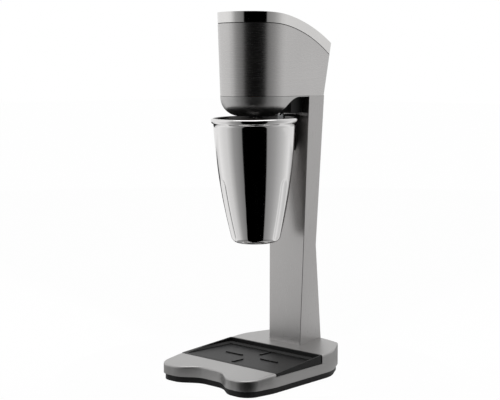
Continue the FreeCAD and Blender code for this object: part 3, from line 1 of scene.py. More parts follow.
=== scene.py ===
"""Looks of a counter-top milkshake mixer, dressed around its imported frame.

Metres throughout, +Z up, the front of the mixer towards -Y.
"""
import logging
import math
from dataclasses import dataclass
from enum import Enum
from typing import ClassVar, Sequence

import bmesh
import bpy
from mathutils import Matrix, Vector


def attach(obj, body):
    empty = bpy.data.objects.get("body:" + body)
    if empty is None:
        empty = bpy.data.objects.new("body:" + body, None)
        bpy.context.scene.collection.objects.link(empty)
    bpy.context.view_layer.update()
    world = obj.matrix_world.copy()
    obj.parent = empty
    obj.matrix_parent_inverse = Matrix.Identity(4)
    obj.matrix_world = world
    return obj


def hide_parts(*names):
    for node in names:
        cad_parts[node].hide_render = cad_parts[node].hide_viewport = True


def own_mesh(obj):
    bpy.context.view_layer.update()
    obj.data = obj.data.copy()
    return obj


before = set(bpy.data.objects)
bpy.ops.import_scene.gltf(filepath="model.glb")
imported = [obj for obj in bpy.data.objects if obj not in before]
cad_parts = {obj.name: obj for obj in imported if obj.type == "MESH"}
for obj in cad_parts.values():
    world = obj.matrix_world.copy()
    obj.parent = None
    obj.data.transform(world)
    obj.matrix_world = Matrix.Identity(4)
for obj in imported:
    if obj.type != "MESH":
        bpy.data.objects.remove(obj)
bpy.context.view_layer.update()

logging.basicConfig(level=logging.INFO, format="%(message)s")
LOG = logging.getLogger("mixer")

Triple = tuple[float, float, float]
Section = list[tuple[float, float]]
MERGE_DISTANCE = 2e-6
POLE_DISTANCE = 1e-7
SHARP_TURN = math.radians(40)
SMOOTH_TURN = math.radians(42)


class Grain(Enum):
    """Which way a metal's brushing runs."""

    AROUND = (6.0, 6.0, 2600.0)
    UPRIGHT = (2600.0, 2600.0, 6.0)


# --------------------------------------------------------------------------- node helpers
class Tree:
    """A short way to write a node tree."""

    def __init__(self, tree: bpy.types.NodeTree) -> None:
        """Wraps a tree and empties it.

        Args:
            tree: The node tree to write.
        """
        self.tree = tree
        self.tree.nodes.clear()

    def add(self, kind: str, inputs: dict | None = None, **settings) -> bpy.types.Node:
        """Adds a node.

        Args:
            kind: The node's type name.
            inputs: Socket name or index to a constant or to another node's socket.
            **settings: Properties of the node.

        Returns:
            The node.
        """
        node = self.tree.nodes.new(kind)
        for name, value in settings.items():
            setattr(node, name, value)
        for name, value in (inputs or {}).items():
            socket = node.inputs[name]
            if isinstance(value, bpy.types.NodeSocket):
                self.tree.links.new(value, socket)
            else:
                socket.default_value = value
        return node


def new_tree(name: str) -> tuple[bpy.types.Material, Tree]:
    """Makes an empty node material.

    Args:
        name: The material's name.

    Returns:
        The material and its tree.
    """
    material = bpy.data.materials.new(name)
    material.use_nodes = True
    return material, Tree(material.node_tree)


def grey(tone: float) -> tuple[float, float, float, float]:
    """An opaque grey.

    Args:
        tone: Its brightness.

    Returns:
        The colour, with its alpha.
    """
    return tone, tone, tone, 1.0


def seen_by(tree: Tree, *rays: str) -> bpy.types.NodeSocket:
    """One where any of the named rays meets the shader, zero elsewhere.

    Args:
        tree: The tree to write in.
        *rays: Outputs of the light path.

    Returns:
        The socket that holds the value.
    """
    path = tree.add("ShaderNodeLightPath")
    seen = path.outputs[rays[0]]
    for ray in rays[1:]:
        either = tree.add("ShaderNodeMath", {0: seen, 1: path.outputs[ray]}, operation="MAXIMUM")
        seen = either.outputs[0]
    return seen


# --------------------------------------------------------------------------- finishes
@dataclass(frozen=True)
class Finish:
    """A surface finish: two close tones, a roughness range and a fine relief."""

    TONE_SHIFT: ClassVar[float] = 0.18
    TONE_BAND: ClassVar[tuple[float, float]] = (0.25, 0.65)
    NOISE_BAND: ClassVar[tuple[float, float]] = (0.3, 0.7)
    NOISE_ROUGHNESS: ClassVar[float] = 0.6
    CLOUD_DETAIL: ClassVar[float] = 2.0

    name: str
    dark: Triple
    light: Triple
    metallic: float = 0.0
    rough_low: float = 0.4
    rough_high: float = 0.5
    grain: Triple = (300.0, 300.0, 300.0)
    detail: float = 3.0
    relief: float = 0.05
    relief_depth: float = 0.0002
    clear_coat: float = 0.0
    coat_roughness: float = 0.1
    specular: float = 0.5
    cloud_scale: float = 14.0

    def build(self) -> bpy.types.Material:
        """Builds the material.

        Returns:
            The node material.
        """
        material, tree = new_tree(self.name)
        place = tree.add("ShaderNodeTexCoord").outputs["Object"]
        stretched = tree.add("ShaderNodeMapping", {"Vector": place, "Scale": self.grain})
        fine = tree.add("ShaderNodeTexNoise", {
            "Vector": stretched.outputs["Vector"], "Scale": 1.0, "Detail": self.detail,
            "Roughness": self.NOISE_ROUGHNESS})
        cloud = tree.add("ShaderNodeTexNoise", {
            "Vector": place, "Scale": self.cloud_scale, "Detail": self.CLOUD_DETAIL})
        tone = tree.add("ShaderNodeMath", {
            0: fine.outputs["Fac"], 1: cloud.outputs["Fac"], 2: self.TONE_SHIFT},
            operation="MULTIPLY_ADD")
        ramp = tree.add("ShaderNodeValToRGB", {"Fac": tone.outputs[0]})
        for stop, at, colour in zip(ramp.color_ramp.elements, self.TONE_BAND,
                                    (self.dark, self.light)):
            stop.position = at
            stop.color = (*colour, 1.0)
        rough = tree.add("ShaderNodeMapRange", {
            "Value": fine.outputs["Fac"], "From Min": self.NOISE_BAND[0],
            "From Max": self.NOISE_BAND[1],
            "To Min": self.rough_low, "To Max": self.rough_high})
        bump = tree.add("ShaderNodeBump", {
            "Height": fine.outputs["Fac"], "Strength": self.relief,
            "Distance": self.relief_depth})
        shader = tree.add("ShaderNodeBsdfPrincipled", {
            "Base Color": ramp.outputs["Color"], "Metallic": self.metallic,
            "Roughness": rough.outputs["Result"], "Normal": bump.outputs["Normal"],
            "Specular IOR Level": self.specular, "Coat Weight": self.clear_coat,
            "Coat Roughness": self.coat_roughness})
        tree.add("ShaderNodeOutputMaterial", {"Surface": shader.outputs["BSDF"]})
        return material


BRUSHED_AROUND = Finish(
    "steel_brushed_around", (0.52, 0.51, 0.505), (0.57, 0.56, 0.555), metallic=1.0,
    rough_low=0.25, rough_high=0.30, grain=Grain.AROUND.value, relief=0.012)
BRUSHED_UPRIGHT = Finish(
    "steel_brushed_upright", (0.47, 0.46, 0.455), (0.51, 0.50, 0.495), metallic=1.0,
    rough_low=0.27, rough_high=0.32, grain=Grain.UPRIGHT.value, relief=0.012)
SATIN_CAST = Finish(
    "satin_cast", (0.43, 0.425, 0.42), (0.48, 0.475, 0.47), metallic=1.0,
    rough_low=0.36, rough_high=0.44, grain=(1500.0, 1500.0, 1500.0), relief=0.05)
# The chin's brushed steel: rougher than the shell's, with tones set darker than the shell's as
# painted shade under the head.
BRUSHED_CHIN_SHADED = Finish(
    "steel_brushed_chin_painted_shade", (0.46, 0.455, 0.45), (0.51, 0.505, 0.50), metallic=1.0,
    rough_low=0.34, rough_high=0.40, grain=Grain.AROUND.value, relief=0.012)
POLISHED_LID = Finish(
    "steel_polished_lid", (0.72, 0.71, 0.70), (0.76, 0.75, 0.74), metallic=1.0,
    rough_low=0.07, rough_high=0.10, grain=(60.0, 60.0, 60.0), relief=0.0)
POLISHED_CUP = Finish(
    "steel_polished_cup", (0.77, 0.76, 0.755), (0.80, 0.79, 0.785), metallic=1.0,
    rough_low=0.055, rough_high=0.085, grain=(20.0, 20.0, 200.0), relief=0.0)
# Rougher drawn steel for the cup's inside, its tones set far darker than the outer steel as
# painted shade inside the cup.
DRAWN_AND_SHADED_INSIDE = Finish(
    "steel_drawn_inside_painted_shade", (0.20, 0.20, 0.20), (0.26, 0.255, 0.25), metallic=1.0,
    rough_low=0.30, rough_high=0.38, grain=(30.0, 30.0, 500.0), relief=0.0)
BLACK_PLASTIC = Finish(
    "plastic_black", (0.008, 0.008, 0.008), (0.013, 0.013, 0.013),
    rough_low=0.42, rough_high=0.52, grain=(2500.0, 2500.0, 2500.0), relief=0.15,
    specular=0.28)
BLACK_RUBBER = Finish(
    "rubber_black", (0.010, 0.010, 0.010), (0.016, 0.016, 0.016),
    rough_low=0.65, rough_high=0.8, grain=(900.0, 900.0, 900.0), relief=0.2)
ZINC = Finish(
    "zinc_plate", (0.52, 0.53, 0.54), (0.64, 0.65, 0.66), metallic=1.0,
    rough_low=0.28, rough_high=0.42, grain=(700.0, 700.0, 700.0), relief=0.05)
LAMINATION = Finish(
    "lamination_stack", (0.14, 0.14, 0.15), (0.28, 0.28, 0.29), metallic=0.9,
    rough_low=0.4, rough_high=0.6, grain=(8.0, 8.0, 2000.0), relief=0.4)
COPPER = Finish(
    "copper_wire", (0.52, 0.24, 0.10), (0.72, 0.40, 0.20), metallic=0.9,
    rough_low=0.25, rough_high=0.4, grain=(50.0, 50.0, 1500.0), relief=0.5)
CARBON = Finish(
    "carbon_pressed", (0.02, 0.02, 0.022), (0.045, 0.045, 0.05),
    rough_low=0.5, rough_high=0.65, grain=(1800.0, 1800.0, 1800.0), relief=0.15)
FIBRE_GASKET = Finish(
    "gasket_dark", (0.012, 0.012, 0.012), (0.02, 0.02, 0.02),
    rough_low=0.6, rough_high=0.8, grain=(1200.0, 1200.0, 1200.0), relief=0.2)


MADE: dict[str, bpy.types.Material] = {}


def made_once(finish: Finish) -> bpy.types.Material:
    """The material of a finish, built the first time it is asked for.

    Args:
        finish: The finish.

    Returns:
        Its material.
    """
    if finish.name not in MADE:
        MADE[finish.name] = finish.build()
    return MADE[finish.name]


# --------------------------------------------------------------------------- mesh helpers
def mesh_of(name: str, points: Sequence[Sequence[float]],
            faces: Sequence[Sequence[int]]) -> bpy.types.Mesh:
    """Makes a smooth-shaded mesh.

    Args:
        name: The mesh's name.
        points: Its corners, in metres.
        faces: Corner numbers of each face.

    Returns:
        The mesh.
    """
    mesh = bpy.data.meshes.new(name)
    mesh.from_pydata([tuple(point) for point in points], [], [tuple(face) for face in faces])
    mesh.shade_smooth()
    mesh.update()
    return mesh


def linked_object(name: str, mesh: bpy.types.Mesh) -> bpy.types.Object:
    """Makes an object at the origin and links it to the scene.

    Args:
        name: The object's name.
        mesh: Its mesh.

    Returns:
        The object.
    """
    piece = bpy.data.objects.new(name, mesh)
    bpy.context.scene.collection.objects.link(piece)
    return piece


def settled(piece: bpy.types.Object) -> None:
    """Turns an object's modifiers into its plain mesh.

    Args:
        piece: The object.
    """
    graph = bpy.context.evaluated_depsgraph_get()
    mesh = bpy.data.meshes.new_from_object(piece.evaluated_get(graph), depsgraph=graph)
    piece.modifiers.clear()
    piece.data = mesh


def finished(piece: bpy.types.Object, finish: Finish, body: str, *nodes: str) -> None:
    """Gives a piece its finish, its body and the solids that it stands for.

    Args:
        piece: The object.
        finish: Its finish.
        body: The body that it moves with.
        *nodes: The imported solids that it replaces.
    """
    piece.data.materials.clear()
    piece.data.materials.append(made_once(finish))
    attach(piece, body)
    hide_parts(*nodes)
    LOG.info("piece %s: %d faces", piece.name, len(piece.data.polygons))


def sharp_edges(mesh: bmesh.types.BMesh, shortest: float,
                steepest: float) -> list[bmesh.types.BMEdge]:
    """Edges that turn sharply and are long enough to be rounded.

    Args:
        mesh: The mesh.
        shortest: Least length, in metres.
        steepest: Least share of the length that is upright, 0 for any.

    Returns:
        The edges.
    """
    found = []
    for edge in mesh.edges:
        if len(edge.link_faces) != 2 or edge.calc_length() < shortest:
            continue
        rise = abs(edge.verts[0].co.z - edge.verts[1].co.z)
        if edge.calc_face_angle(0.0) > SHARP_TURN and rise >= steepest * edge.calc_length():
            found.append(edge)
    return found


def merged(node: str) -> bmesh.types.BMesh:
    """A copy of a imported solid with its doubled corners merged.

    Args:
        node: The solid's name.

    Returns:
        The copy, to be freed by the caller.
    """
    work = bmesh.new()
    work.from_mesh(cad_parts[node].data)
    bmesh.ops.remove_doubles(work, verts=work.verts, dist=MERGE_DISTANCE)
    return work


@dataclass
class Softened:
    """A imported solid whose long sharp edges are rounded."""

    node: str
    radius: float
    shortest: float
    steepest: float = 0.0
    segments: int = 3
    flat_turn: float = math.radians(0.4)

    def build(self) -> bpy.types.Object:
        """Builds the rounded copy.

        Returns:
            The new object.
        """
        work = merged(self.node)
        bmesh.ops.dissolve_limit(work, angle_limit=self.flat_turn, verts=work.verts,
                                 edges=work.edges)
        edges = sharp_edges(work, self.shortest, self.steepest)
        bmesh.ops.bevel(work, geom=edges, offset=self.radius, segments=self.segments,
                        profile=0.5, affect="EDGES", clamp_overlap=True)
        mesh = bpy.data.meshes.new(f"{self.node}_soft")
        work.to_mesh(mesh)
        work.free()
        mesh.shade_smooth()
        mesh.set_sharp_from_angle(angle=SMOOTH_TURN)
        piece = linked_object(f"{self.node}_soft", mesh)
        weighted = piece.modifiers.new("weighted", "WEIGHTED_NORMAL")
        weighted.keep_sharp = True
        settled(piece)
        return piece


# --------------------------------------------------------------------------- sub-assemblies
@dataclass
class SubAssembly:
    """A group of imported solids, and the pieces that stand for some of them."""

    FINISHES: ClassVar[dict[str, Finish]] = {}

    def dress(self) -> None:
        """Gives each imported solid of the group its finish."""
        for name, finish in self.FINISHES.items():
            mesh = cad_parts[name].data
            mesh.materials.clear()
            mesh.materials.append(made_once(finish))
            LOG.info("finish %s on %s", finish.name, name)

    def shape(self) -> None:
        """Builds the group's own pieces; a group has none unless it says so."""

    def build(self) -> None:
        """Dresses the group's solids and builds its own pieces."""
        self.dress()
        self.shape()
        LOG.info("built %s", type(self).__name__)


# --------------------------------------------------------------------------- mixing cup
@dataclass
class MixingCup(SubAssembly):
    """The fluted steel cup with its rolled rim."""

    FINISHES: ClassVar[dict[str, Finish]] = {"mixing_cup": POLISHED_CUP}

    seat: Triple = (0.0, -0.0085, 0.345)
    tilt: float = math.radians(1.45)
    rim_radius: float = 0.0546
    foot_radius: float = 0.033
    height: float = 0.163
    corner: float = 0.0091
    corner_run: float = 0.0089
    corner_rise: float = 0.007
    bulge: float = 0.790
    wall: float = 0.0009
    bead: float = 0.003
    flutes: int = 6
    first_flute: float = math.radians(8.2)
    flute_half: float = 0.0085
    flute_depth: float = 0.0018
    flute_top: float = 0.077
    flute_foot: float = 0.159
    flute_fade: float = 0.009
    flute_softness: float = 1.4
    around: int = 256
    upper_start: float = 0.004
    upper_step: float = 0.0049
    upper_rows: int = 15
    lower_start: float = 0.0755
    lower_step: float = 0.0016
    lower_rows: int = 51
    corner_rows: int = 8
    bead_rows: int = 15
    bead_first: float = 165.0
    bead_sweep: float = 240.0
    bead_inside: float = 0.3
    bead_below: float = 1.4
    foot_shares: tuple[float, ...] = (0.9, 0.7, 0.35, 0.0)
    floor_facing: float = 0.9
    floor_share: float = 0.8

    def wall_radius(self, depth: float) -> float:
        """Radius of the outer wall.

        Args:
            depth: Distance below the rim, in metres.

        Returns:
            The radius, in metres.
        """
        drop = self.height - self.corner_rise
        shrink = self.rim_radius - self.foot_radius
        chord = math.hypot(shrink, drop)
        reach = math.sqrt(self.bulge ** 2 - chord ** 2 / 4)
        centre = (self.rim_radius + self.foot_radius) / 2 - reach * drop / chord
        level = drop / 2 - reach * shrink / chord
        return centre + math.sqrt(self.bulge ** 2 - (depth - level) ** 2)

    def corner_line(self) -> Section:
        """The outer wall's lower corner, from the wall to the flat of the foot.

        Returns:
            Radius and depth of each point.
        """
        start = Vector((self.foot_radius, self.height - self.corner_rise))
        end = Vector((self.foot_radius - self.corner_run, self.height))
        chord = end - start
        reach = math.sqrt(self.corner ** 2 - chord.length ** 2 / 4)
        inward = Vector((chord.y, -chord.x)).normalized()
        if inward.x > 0:
            inward.negate()
        centre = (start + end) / 2 + inward * reach
        first = math.atan2(*(start - centre).yx)
        last = math.atan2(*(end - centre).yx)
        turns = [first + (last - first) * i / self.corner_rows
                 for i in range(1, self.corner_rows + 1)]
        return [(centre.x + self.corner * math.cos(turn), centre.y + self.corner * math.sin(turn))
                for turn in turns]

    def bead_line(self) -> Section:
        """The rolled rim, from inside over the top to the outer wall.

        Returns:
            Radius and depth of each point.
        """
        line = []
        for i in range(self.bead_rows):
            turn = math.radians(self.bead_first - self.bead_sweep * i / (self.bead_rows - 1))
            inside = self.bead_inside if math.cos(turn) < 0 else 1.0
            below = self.bead_below if math.sin(turn) < 0 else 1.0
            line.append((self.rim_radius + self.bead * math.cos(turn) * inside,
                         -self.bead * math.sin(turn) * below))
        return line

    def press(self, turn: float, depth: float, radius: float) -> float:
        """How far a flute presses the wall in.

        Args:
            turn: Angle round the axis, in radians.
            depth: Distance below the rim, in metres.
            radius: Radius of the wall there, in metres.

        Returns:
            The depth of the groove, in metres.
        """
        if not self.flute_top < depth < self.flute_foot:
            return 0.0
        pitch = 2 * math.pi / self.flutes
        away = (turn - self.first_flute + pitch / 2) % pitch - pitch / 2
        near = min((depth - self.flute_top) / self.flute_fade,
                   (self.flute_foot - depth) / (0.5 * self.flute_fade), 1.0)
        cap = math.sqrt(max(0.0, 1 - (1 - near) ** 2))
        across = abs(away) * radius / (self.flute_half * max(cap, 1e-3))
        if across >= 1:
            return 0.0
        return self.flute_depth * cap * (1 - across ** 2) ** self.flute_softness

    def section(self) -> Section:
        """Half section from the middle of the inside floor, over the rim, to the foot's middle.

        Returns:
            Radius and depth of each point.
        """
        upper = [self.upper_start + self.upper_step * i for i in range(self.upper_rows)]
        lower = [self.lower_start + self.lower_step * i for i in range(self.lower_rows)]
        outer = [(self.wall_radius(depth), depth) for depth in upper + lower
                 if depth < self.height - self.corner_rise]
        outer += self.corner_line()
        inner = [(radius - self.wall, min(depth, self.height - self.wall))
                 for radius, depth in outer]
        foot_inside = [(inner[-1][0] * share, self.height - self.wall)
                       for share in reversed(self.foot_shares)]
        foot_outside = [(outer[-1][0] * share, self.height) for share in self.foot_shares]
        return foot_inside + inner[::-1] + self.bead_line() + outer + foot_outside

    def shape(self) -> None:
        """Builds the cup and puts it in the solid cup's place."""
        section = self.section()
        lean = Matrix.Rotation(self.tilt, 3, "X")
        seat = Vector(self.seat)
        points, faces = [], []
        for radius, depth in section:
            for i in range(self.around):
                turn = 2 * math.pi * i / self.around
                here = radius - self.press(turn, depth, max(radius, 1e-6))
                spot = Vector((here * math.cos(turn), here * math.sin(turn), -depth))
                points.append(seat + lean @ spot)
        for row in range(len(section) - 1):
            for i in range(self.around):
                j = (i + 1) % self.around
                low, high = row * self.around, (row + 1) * self.around
                faces.append((low + i, low + j, high + j, high + i))
        mesh = mesh_of("mixing_cup_skin", points, faces)
        work = bmesh.new()
        work.from_mesh(mesh)
        bmesh.ops.remove_doubles(work, verts=work.verts, dist=POLE_DISTANCE)
        bmesh.ops.recalc_face_normals(work, faces=work.faces)
        work.to_mesh(mesh)
        work.free()
        mesh.shade_smooth()
        cup = linked_object("mixing_cup_skin", mesh)
        finished(cup, POLISHED_CUP, "cup", "mixing_cup")
        # Second slot: the inside finish, darkened as painted shade.
        mesh.materials.append(made_once(DRAWN_AND_SHADED_INSIDE))
        self.dull_and_shade_inside(mesh, seat, lean @ Vector((0.0, 0.0, 1.0)))

    def dull_and_shade_inside(self, mesh: bpy.types.Mesh, seat: Vector, axis: Vector) -> None:
        """Gives the faces inside the cup its second finish: rougher steel, darkened to paint the
        shade inside the cup.

        Args:
            mesh: The cup's mesh.
            seat: Middle of the rim.
            axis: The cup's axis, upwards.
        """
        for face in mesh.polygons:
            out = face.center - seat
            out -= axis * out.dot(axis)
            floor = (face.normal.dot(axis) > self.floor_facing
                     and out.length < self.floor_share * self.foot_radius)
            inward = floor or face.normal.dot(out) < 0
            if inward and out.length < self.rim_radius - self.wall / 2:
                face.material_index = 1


# --------------------------------------------------------------------------- screws
@dataclass
class ScrewRow:
    """A row of pan-head screws with a cross recess."""

    node: str
    body: str
    towards: Triple
    head: float = 0.0029
    height: float = 0.0018
    shank: float = 0.0015
    length: float = 0.006
    slot_half: float = 0.00035
    slot_reach: float = 0.0015
    slot_depth: float = 0.0009
    crown: Sequence[tuple[float, float]] = ((0.72, 0.0001), (0.92, 0.0005), (1.0, 0.0011))
    tip_start: float = 0.9
    tip_share: float = 0.6
    steps: int = 32
    sharp_turn: float = math.radians(35)

    def seats(self) -> list[Vector]:
        """Middle of each head's outer face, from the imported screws' own boxes.

        Returns:
            The places, in metres.
        """
        work = merged(self.node)
        seen: set[int] = set()
        places = []
        away = -Vector(self.towards)
        for start in work.verts:
            if start.index in seen:
                continue
            island, queue = [], [start]
            seen.add(start.index)
            while queue:
                corner = queue.pop()
                island.append(corner.co.copy())
                for edge in corner.link_edges:
                    other = edge.other_vert(corner)
                    if other.index not in seen:
                        seen.add(other.index)
                        queue.append(other)
            middle = Vector([(min(p[k] for p in island) + max(p[k] for p in island)) / 2
                             for k in range(3)])
            reach = max(away.dot(point) for point in island)
            places.append(middle + away * (reach - away.dot(middle)))
        work.free()
        return places

    def one(self) -> bpy.types.Object:
        """Builds one screw whose head's outer face is at its zero and whose shank points along +Z.

        Returns:
            The screw, not linked to the scene.
        """
        end = self.height + self.length
        profile = [(0.0, 0.0), (self.slot_reach, 0.0)]
        profile += [(share * self.head, depth) for share, depth in self.crown]
        profile += [(self.head, self.height), (self.shank, self.height),
                    (self.shank, self.height + self.tip_start * self.length),
                    (self.tip_share * self.shank, end), (0.0, end)]
        work = bmesh.new()
        corners = [work.verts.new((radius, 0.0, depth)) for radius, depth in profile]
        edges = [work.edges.new(pair) for pair in zip(corners, corners[1:])]
        bmesh.ops.spin(work, geom=corners + edges, cent=(0, 0, 0), axis=(0, 0, 1),
                       angle=2 * math.pi, steps=self.steps, use_duplicate=False)
        bmesh.ops.remove_doubles(work, verts=work.verts, dist=1e-6)
        bmesh.ops.recalc_face_normals(work, faces=work.faces)
        mesh = bpy.data.meshes.new(f"{self.node}_one")
        work.to_mesh(mesh)
        work.free()
        screw = linked_object(f"{self.node}_one", mesh)
        for wide, deep in ((self.slot_reach, self.slot_half), (self.slot_half, self.slot_reach)):
            self.cut_slot(screw, wide, deep)
        return screw

    def cut_slot(self, screw: bpy.types.Object, wide: float, deep: float) -> None:
        """Cuts one slot of the cross recess.

        Args:
            screw: The screw.
            wide: Half size of the slot one way, in metres.
            deep: Half size of the slot the other way, in metres.
        """
        mesh = bpy.data.meshes.new("recess")
        work = bmesh.new()
        bmesh.ops.create_cube(work, size=2.0, matrix=Matrix.Diagonal(
            (wide, deep, self.slot_depth, 1.0)))
        work.to_mesh(mesh)
        work.free()
        cutter = linked_object("recess", mesh)
        hollow = screw.modifiers.new("recess", "BOOLEAN")
        hollow.operation = "DIFFERENCE"
        hollow.solver = "EXACT"
        hollow.object = cutter
        bpy.context.view_layer.update()
        settled(screw)
        bpy.data.objects.remove(cutter)

    def row_tree(self) -> bpy.types.NodeTree:
        """Writes the tree that puts a screw at each seat.

        Returns:
            The tree, with its inputs still unset.
        """
        tree = bpy.data.node_groups.new(f"{self.node}_row", "GeometryNodeTree")
        tree.is_modifier = True
        tree.interface.new_socket("Seats", in_out="INPUT", socket_type="NodeSocketGeometry")
        tree.interface.new_socket("Screw", in_out="INPUT", socket_type="NodeSocketObject")
        tree.interface.new_socket("Turn", in_out="INPUT", socket_type="NodeSocketRotation")
        tree.interface.new_socket("Finish", in_out="INPUT", socket_type="NodeSocketMaterial")
        tree.interface.new_socket("Screws", in_out="OUTPUT", socket_type="NodeSocketGeometry")
        nodes = Tree(tree)
        given = nodes.add("NodeGroupInput")
        shape = nodes.add("GeometryNodeObjectInfo", {"Object": given.outputs["Screw"]})
        spread = nodes.add("GeometryNodeInstanceOnPoints", {
            "Points": given.outputs["Seats"], "Instance": shape.outputs["Geometry"],
            "Rotation": given.outputs["Turn"]})
        real = nodes.add("GeometryNodeRealizeInstances", {"Geometry": spread.outputs["Instances"]})
        dressed = nodes.add("GeometryNodeSetMaterial", {
            "Geometry": real.outputs["Geometry"], "Material": given.outputs["Finish"]})
        nodes.add("NodeGroupOutput", {"Screws": dressed.outputs["Geometry"]})
        return tree

    def build(self) -> None:
        """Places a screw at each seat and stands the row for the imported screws."""
        screw = self.one()
        turn = Vector((0, 0, 1)).rotation_difference(Vector(self.towards)).to_euler()
        tree = self.row_tree()
        seats = bpy.data.meshes.new(f"{self.node}_row")
        seats.from_pydata([tuple(place) for place in self.seats()], [], [])
        row = linked_object(f"{self.node}_row", seats)
        spreading = row.modifiers.new("row", "NODES")
        spreading.node_group = tree
        values = {"Screw": screw, "Turn": turn, "Finish": made_once(ZINC)}
        for item in tree.interface.items_tree:
            if item.in_out == "INPUT" and item.name in values:
                spreading[item.identifier] = values[item.name]
        bpy.context.view_layer.update()
        settled(row)
        bpy.data.objects.remove(screw)
        row.data.set_sharp_from_angle(angle=self.sharp_turn)
        finished(row, ZINC, self.body, self.node)


# --------------------------------------------------------------------------- stand
@dataclass
class Base(SubAssembly):
    """The cast foot, its plate, its rubber feet and the plate's screws."""

    FINISHES: ClassVar[dict[str, Finish]] = {
        "base_shell": SATIN_CAST, "base_plate": BLACK_PLASTIC, "rubber_feet": BLACK_RUBBER,
        "base_screws": ZINC}
    screw_length: float = 0.0069
    screws_towards: Triple = (0.0, 0.0, 1.0)

    def shape(self) -> None:
        """Builds the screws that hold the plate."""
        ScrewRow("base_screws", "stand", self.screws_towards, length=self.screw_length).build()


@dataclass
class DripTray(SubAssembly):
    """The black tray with its stepped wall and its ribs."""

    FINISHES: ClassVar[dict[str, Finish]] = {"drip_tray": BLACK_PLASTIC}
    edge_radius: float = 0.0006
    shortest_edge: float = 0.02

    def shape(self) -> None:
        """Builds the tray with its edges rounded."""
        tray = Softened("drip_tray", self.edge_radius, self.shortest_edge).build()
        finished(tray, BLACK_PLASTIC, "tray", "drip_tray")


@dataclass
class Column(SubAssembly):
    """The tapered column with its back cover, and the post inside it."""

    FINISHES: ClassVar[dict[str, Finish]] = {
        "column_shell": BRUSHED_UPRIGHT, "column_back_cover": BLACK_PLASTIC,
        "back_cover_screws": ZINC, "cable_gland": BLACK_RUBBER, "column_post": ZINC,
        "column_bolts": ZINC, "column_nuts": ZINC, "terminal_block": BLACK_PLASTIC}
    edge_radius: float = 0.0012
    shortest_edge: float = 0.1
    upright_share: float = 0.9
    screws_towards: Triple = (0.0, -1.0, 0.0)

    def shape(self) -> None:
        """Builds the column with its upright edges rounded, and the cover's screws."""
        shell = Softened("column_shell", self.edge_radius, self.shortest_edge,
                         self.upright_share).build()
        finished(shell, BRUSHED_UPRIGHT, "stand", "column_shell")
        ScrewRow("back_cover_screws", "stand", self.screws_towards).build()


@dataclass
class Head(SubAssembly):
    """The teardrop shell, its chin, and the lid over its gasket."""

    FINISHES: ClassVar[dict[str, Finish]] = {
        "head_shell": BRUSHED_AROUND, "head_chin": BRUSHED_CHIN_SHADED, "lid": POLISHED_LID,
        "lid_gasket": FIBRE_GASKET, "lid_screws": ZINC, "splash_seal": BLACK_RUBBER}


@dataclass
class Motor(SubAssembly):
    """The motor on its platform: stator, rotor, brushes and fan."""

    FINISHES: ClassVar[dict[str, Finish]] = {
        "motor_platform": ZINC, "platform_bolts": ZINC, "motor_pillars": ZINC,
        "motor_bolts": ZINC, "upper_yoke": ZINC, "lower_bush": COPPER, "upper_bush": COPPER,
        "stator_core": LAMINATION, "field_coils": COPPER, "brush_holders": COPPER,
        "carbon_brushes": CARBON, "brush_springs": ZINC, "motor_shaft": ZINC,
        "cooling_fan": BLACK_PLASTIC, "armature_core": LAMINATION,
        "armature_windings": COPPER, "commutator": COPPER, "spindle_coupling": BLACK_PLASTIC}


@dataclass
class Agitator(SubAssembly):
    """The spindle that reaches into the cup, with its disc and nut."""

    FINISHES: ClassVar[dict[str, Finish]] = {
        "agitator_shaft": POLISHED_CUP, "agitator_disc": POLISHED_CUP,
        "agitator_nut": POLISHED_CUP}


@dataclass
class CupHolder(SubAssembly):
    """The bracket and clip that carry the cup, and the switch that its rim presses."""

    FINISHES: ClassVar[dict[str, Finish]] = {
        "cup_bracket": BLACK_PLASTIC, "bracket_screws": ZINC, "cup_clip": ZINC,
        "switch_housing": BLACK_PLASTIC, "microswitch": BLACK_PLASTIC,
        "plunger_spring": ZINC, "switch_plunger": BLACK_PLASTIC}
    plunger_travel: float = 0.003

    def shape(self) -> None:
        """Builds a smooth-shaded copy of the plunger's spring."""
        work = merged("plunger_spring")
        mesh = bpy.data.meshes.new("plunger_spring_coil")
        work.to_mesh(mesh)
        work.free()
        mesh.shade_smooth()
        spring = linked_object("plunger_spring_coil", mesh)
        finished(spring, ZINC, "stand", "plunger_spring")
        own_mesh(spring)


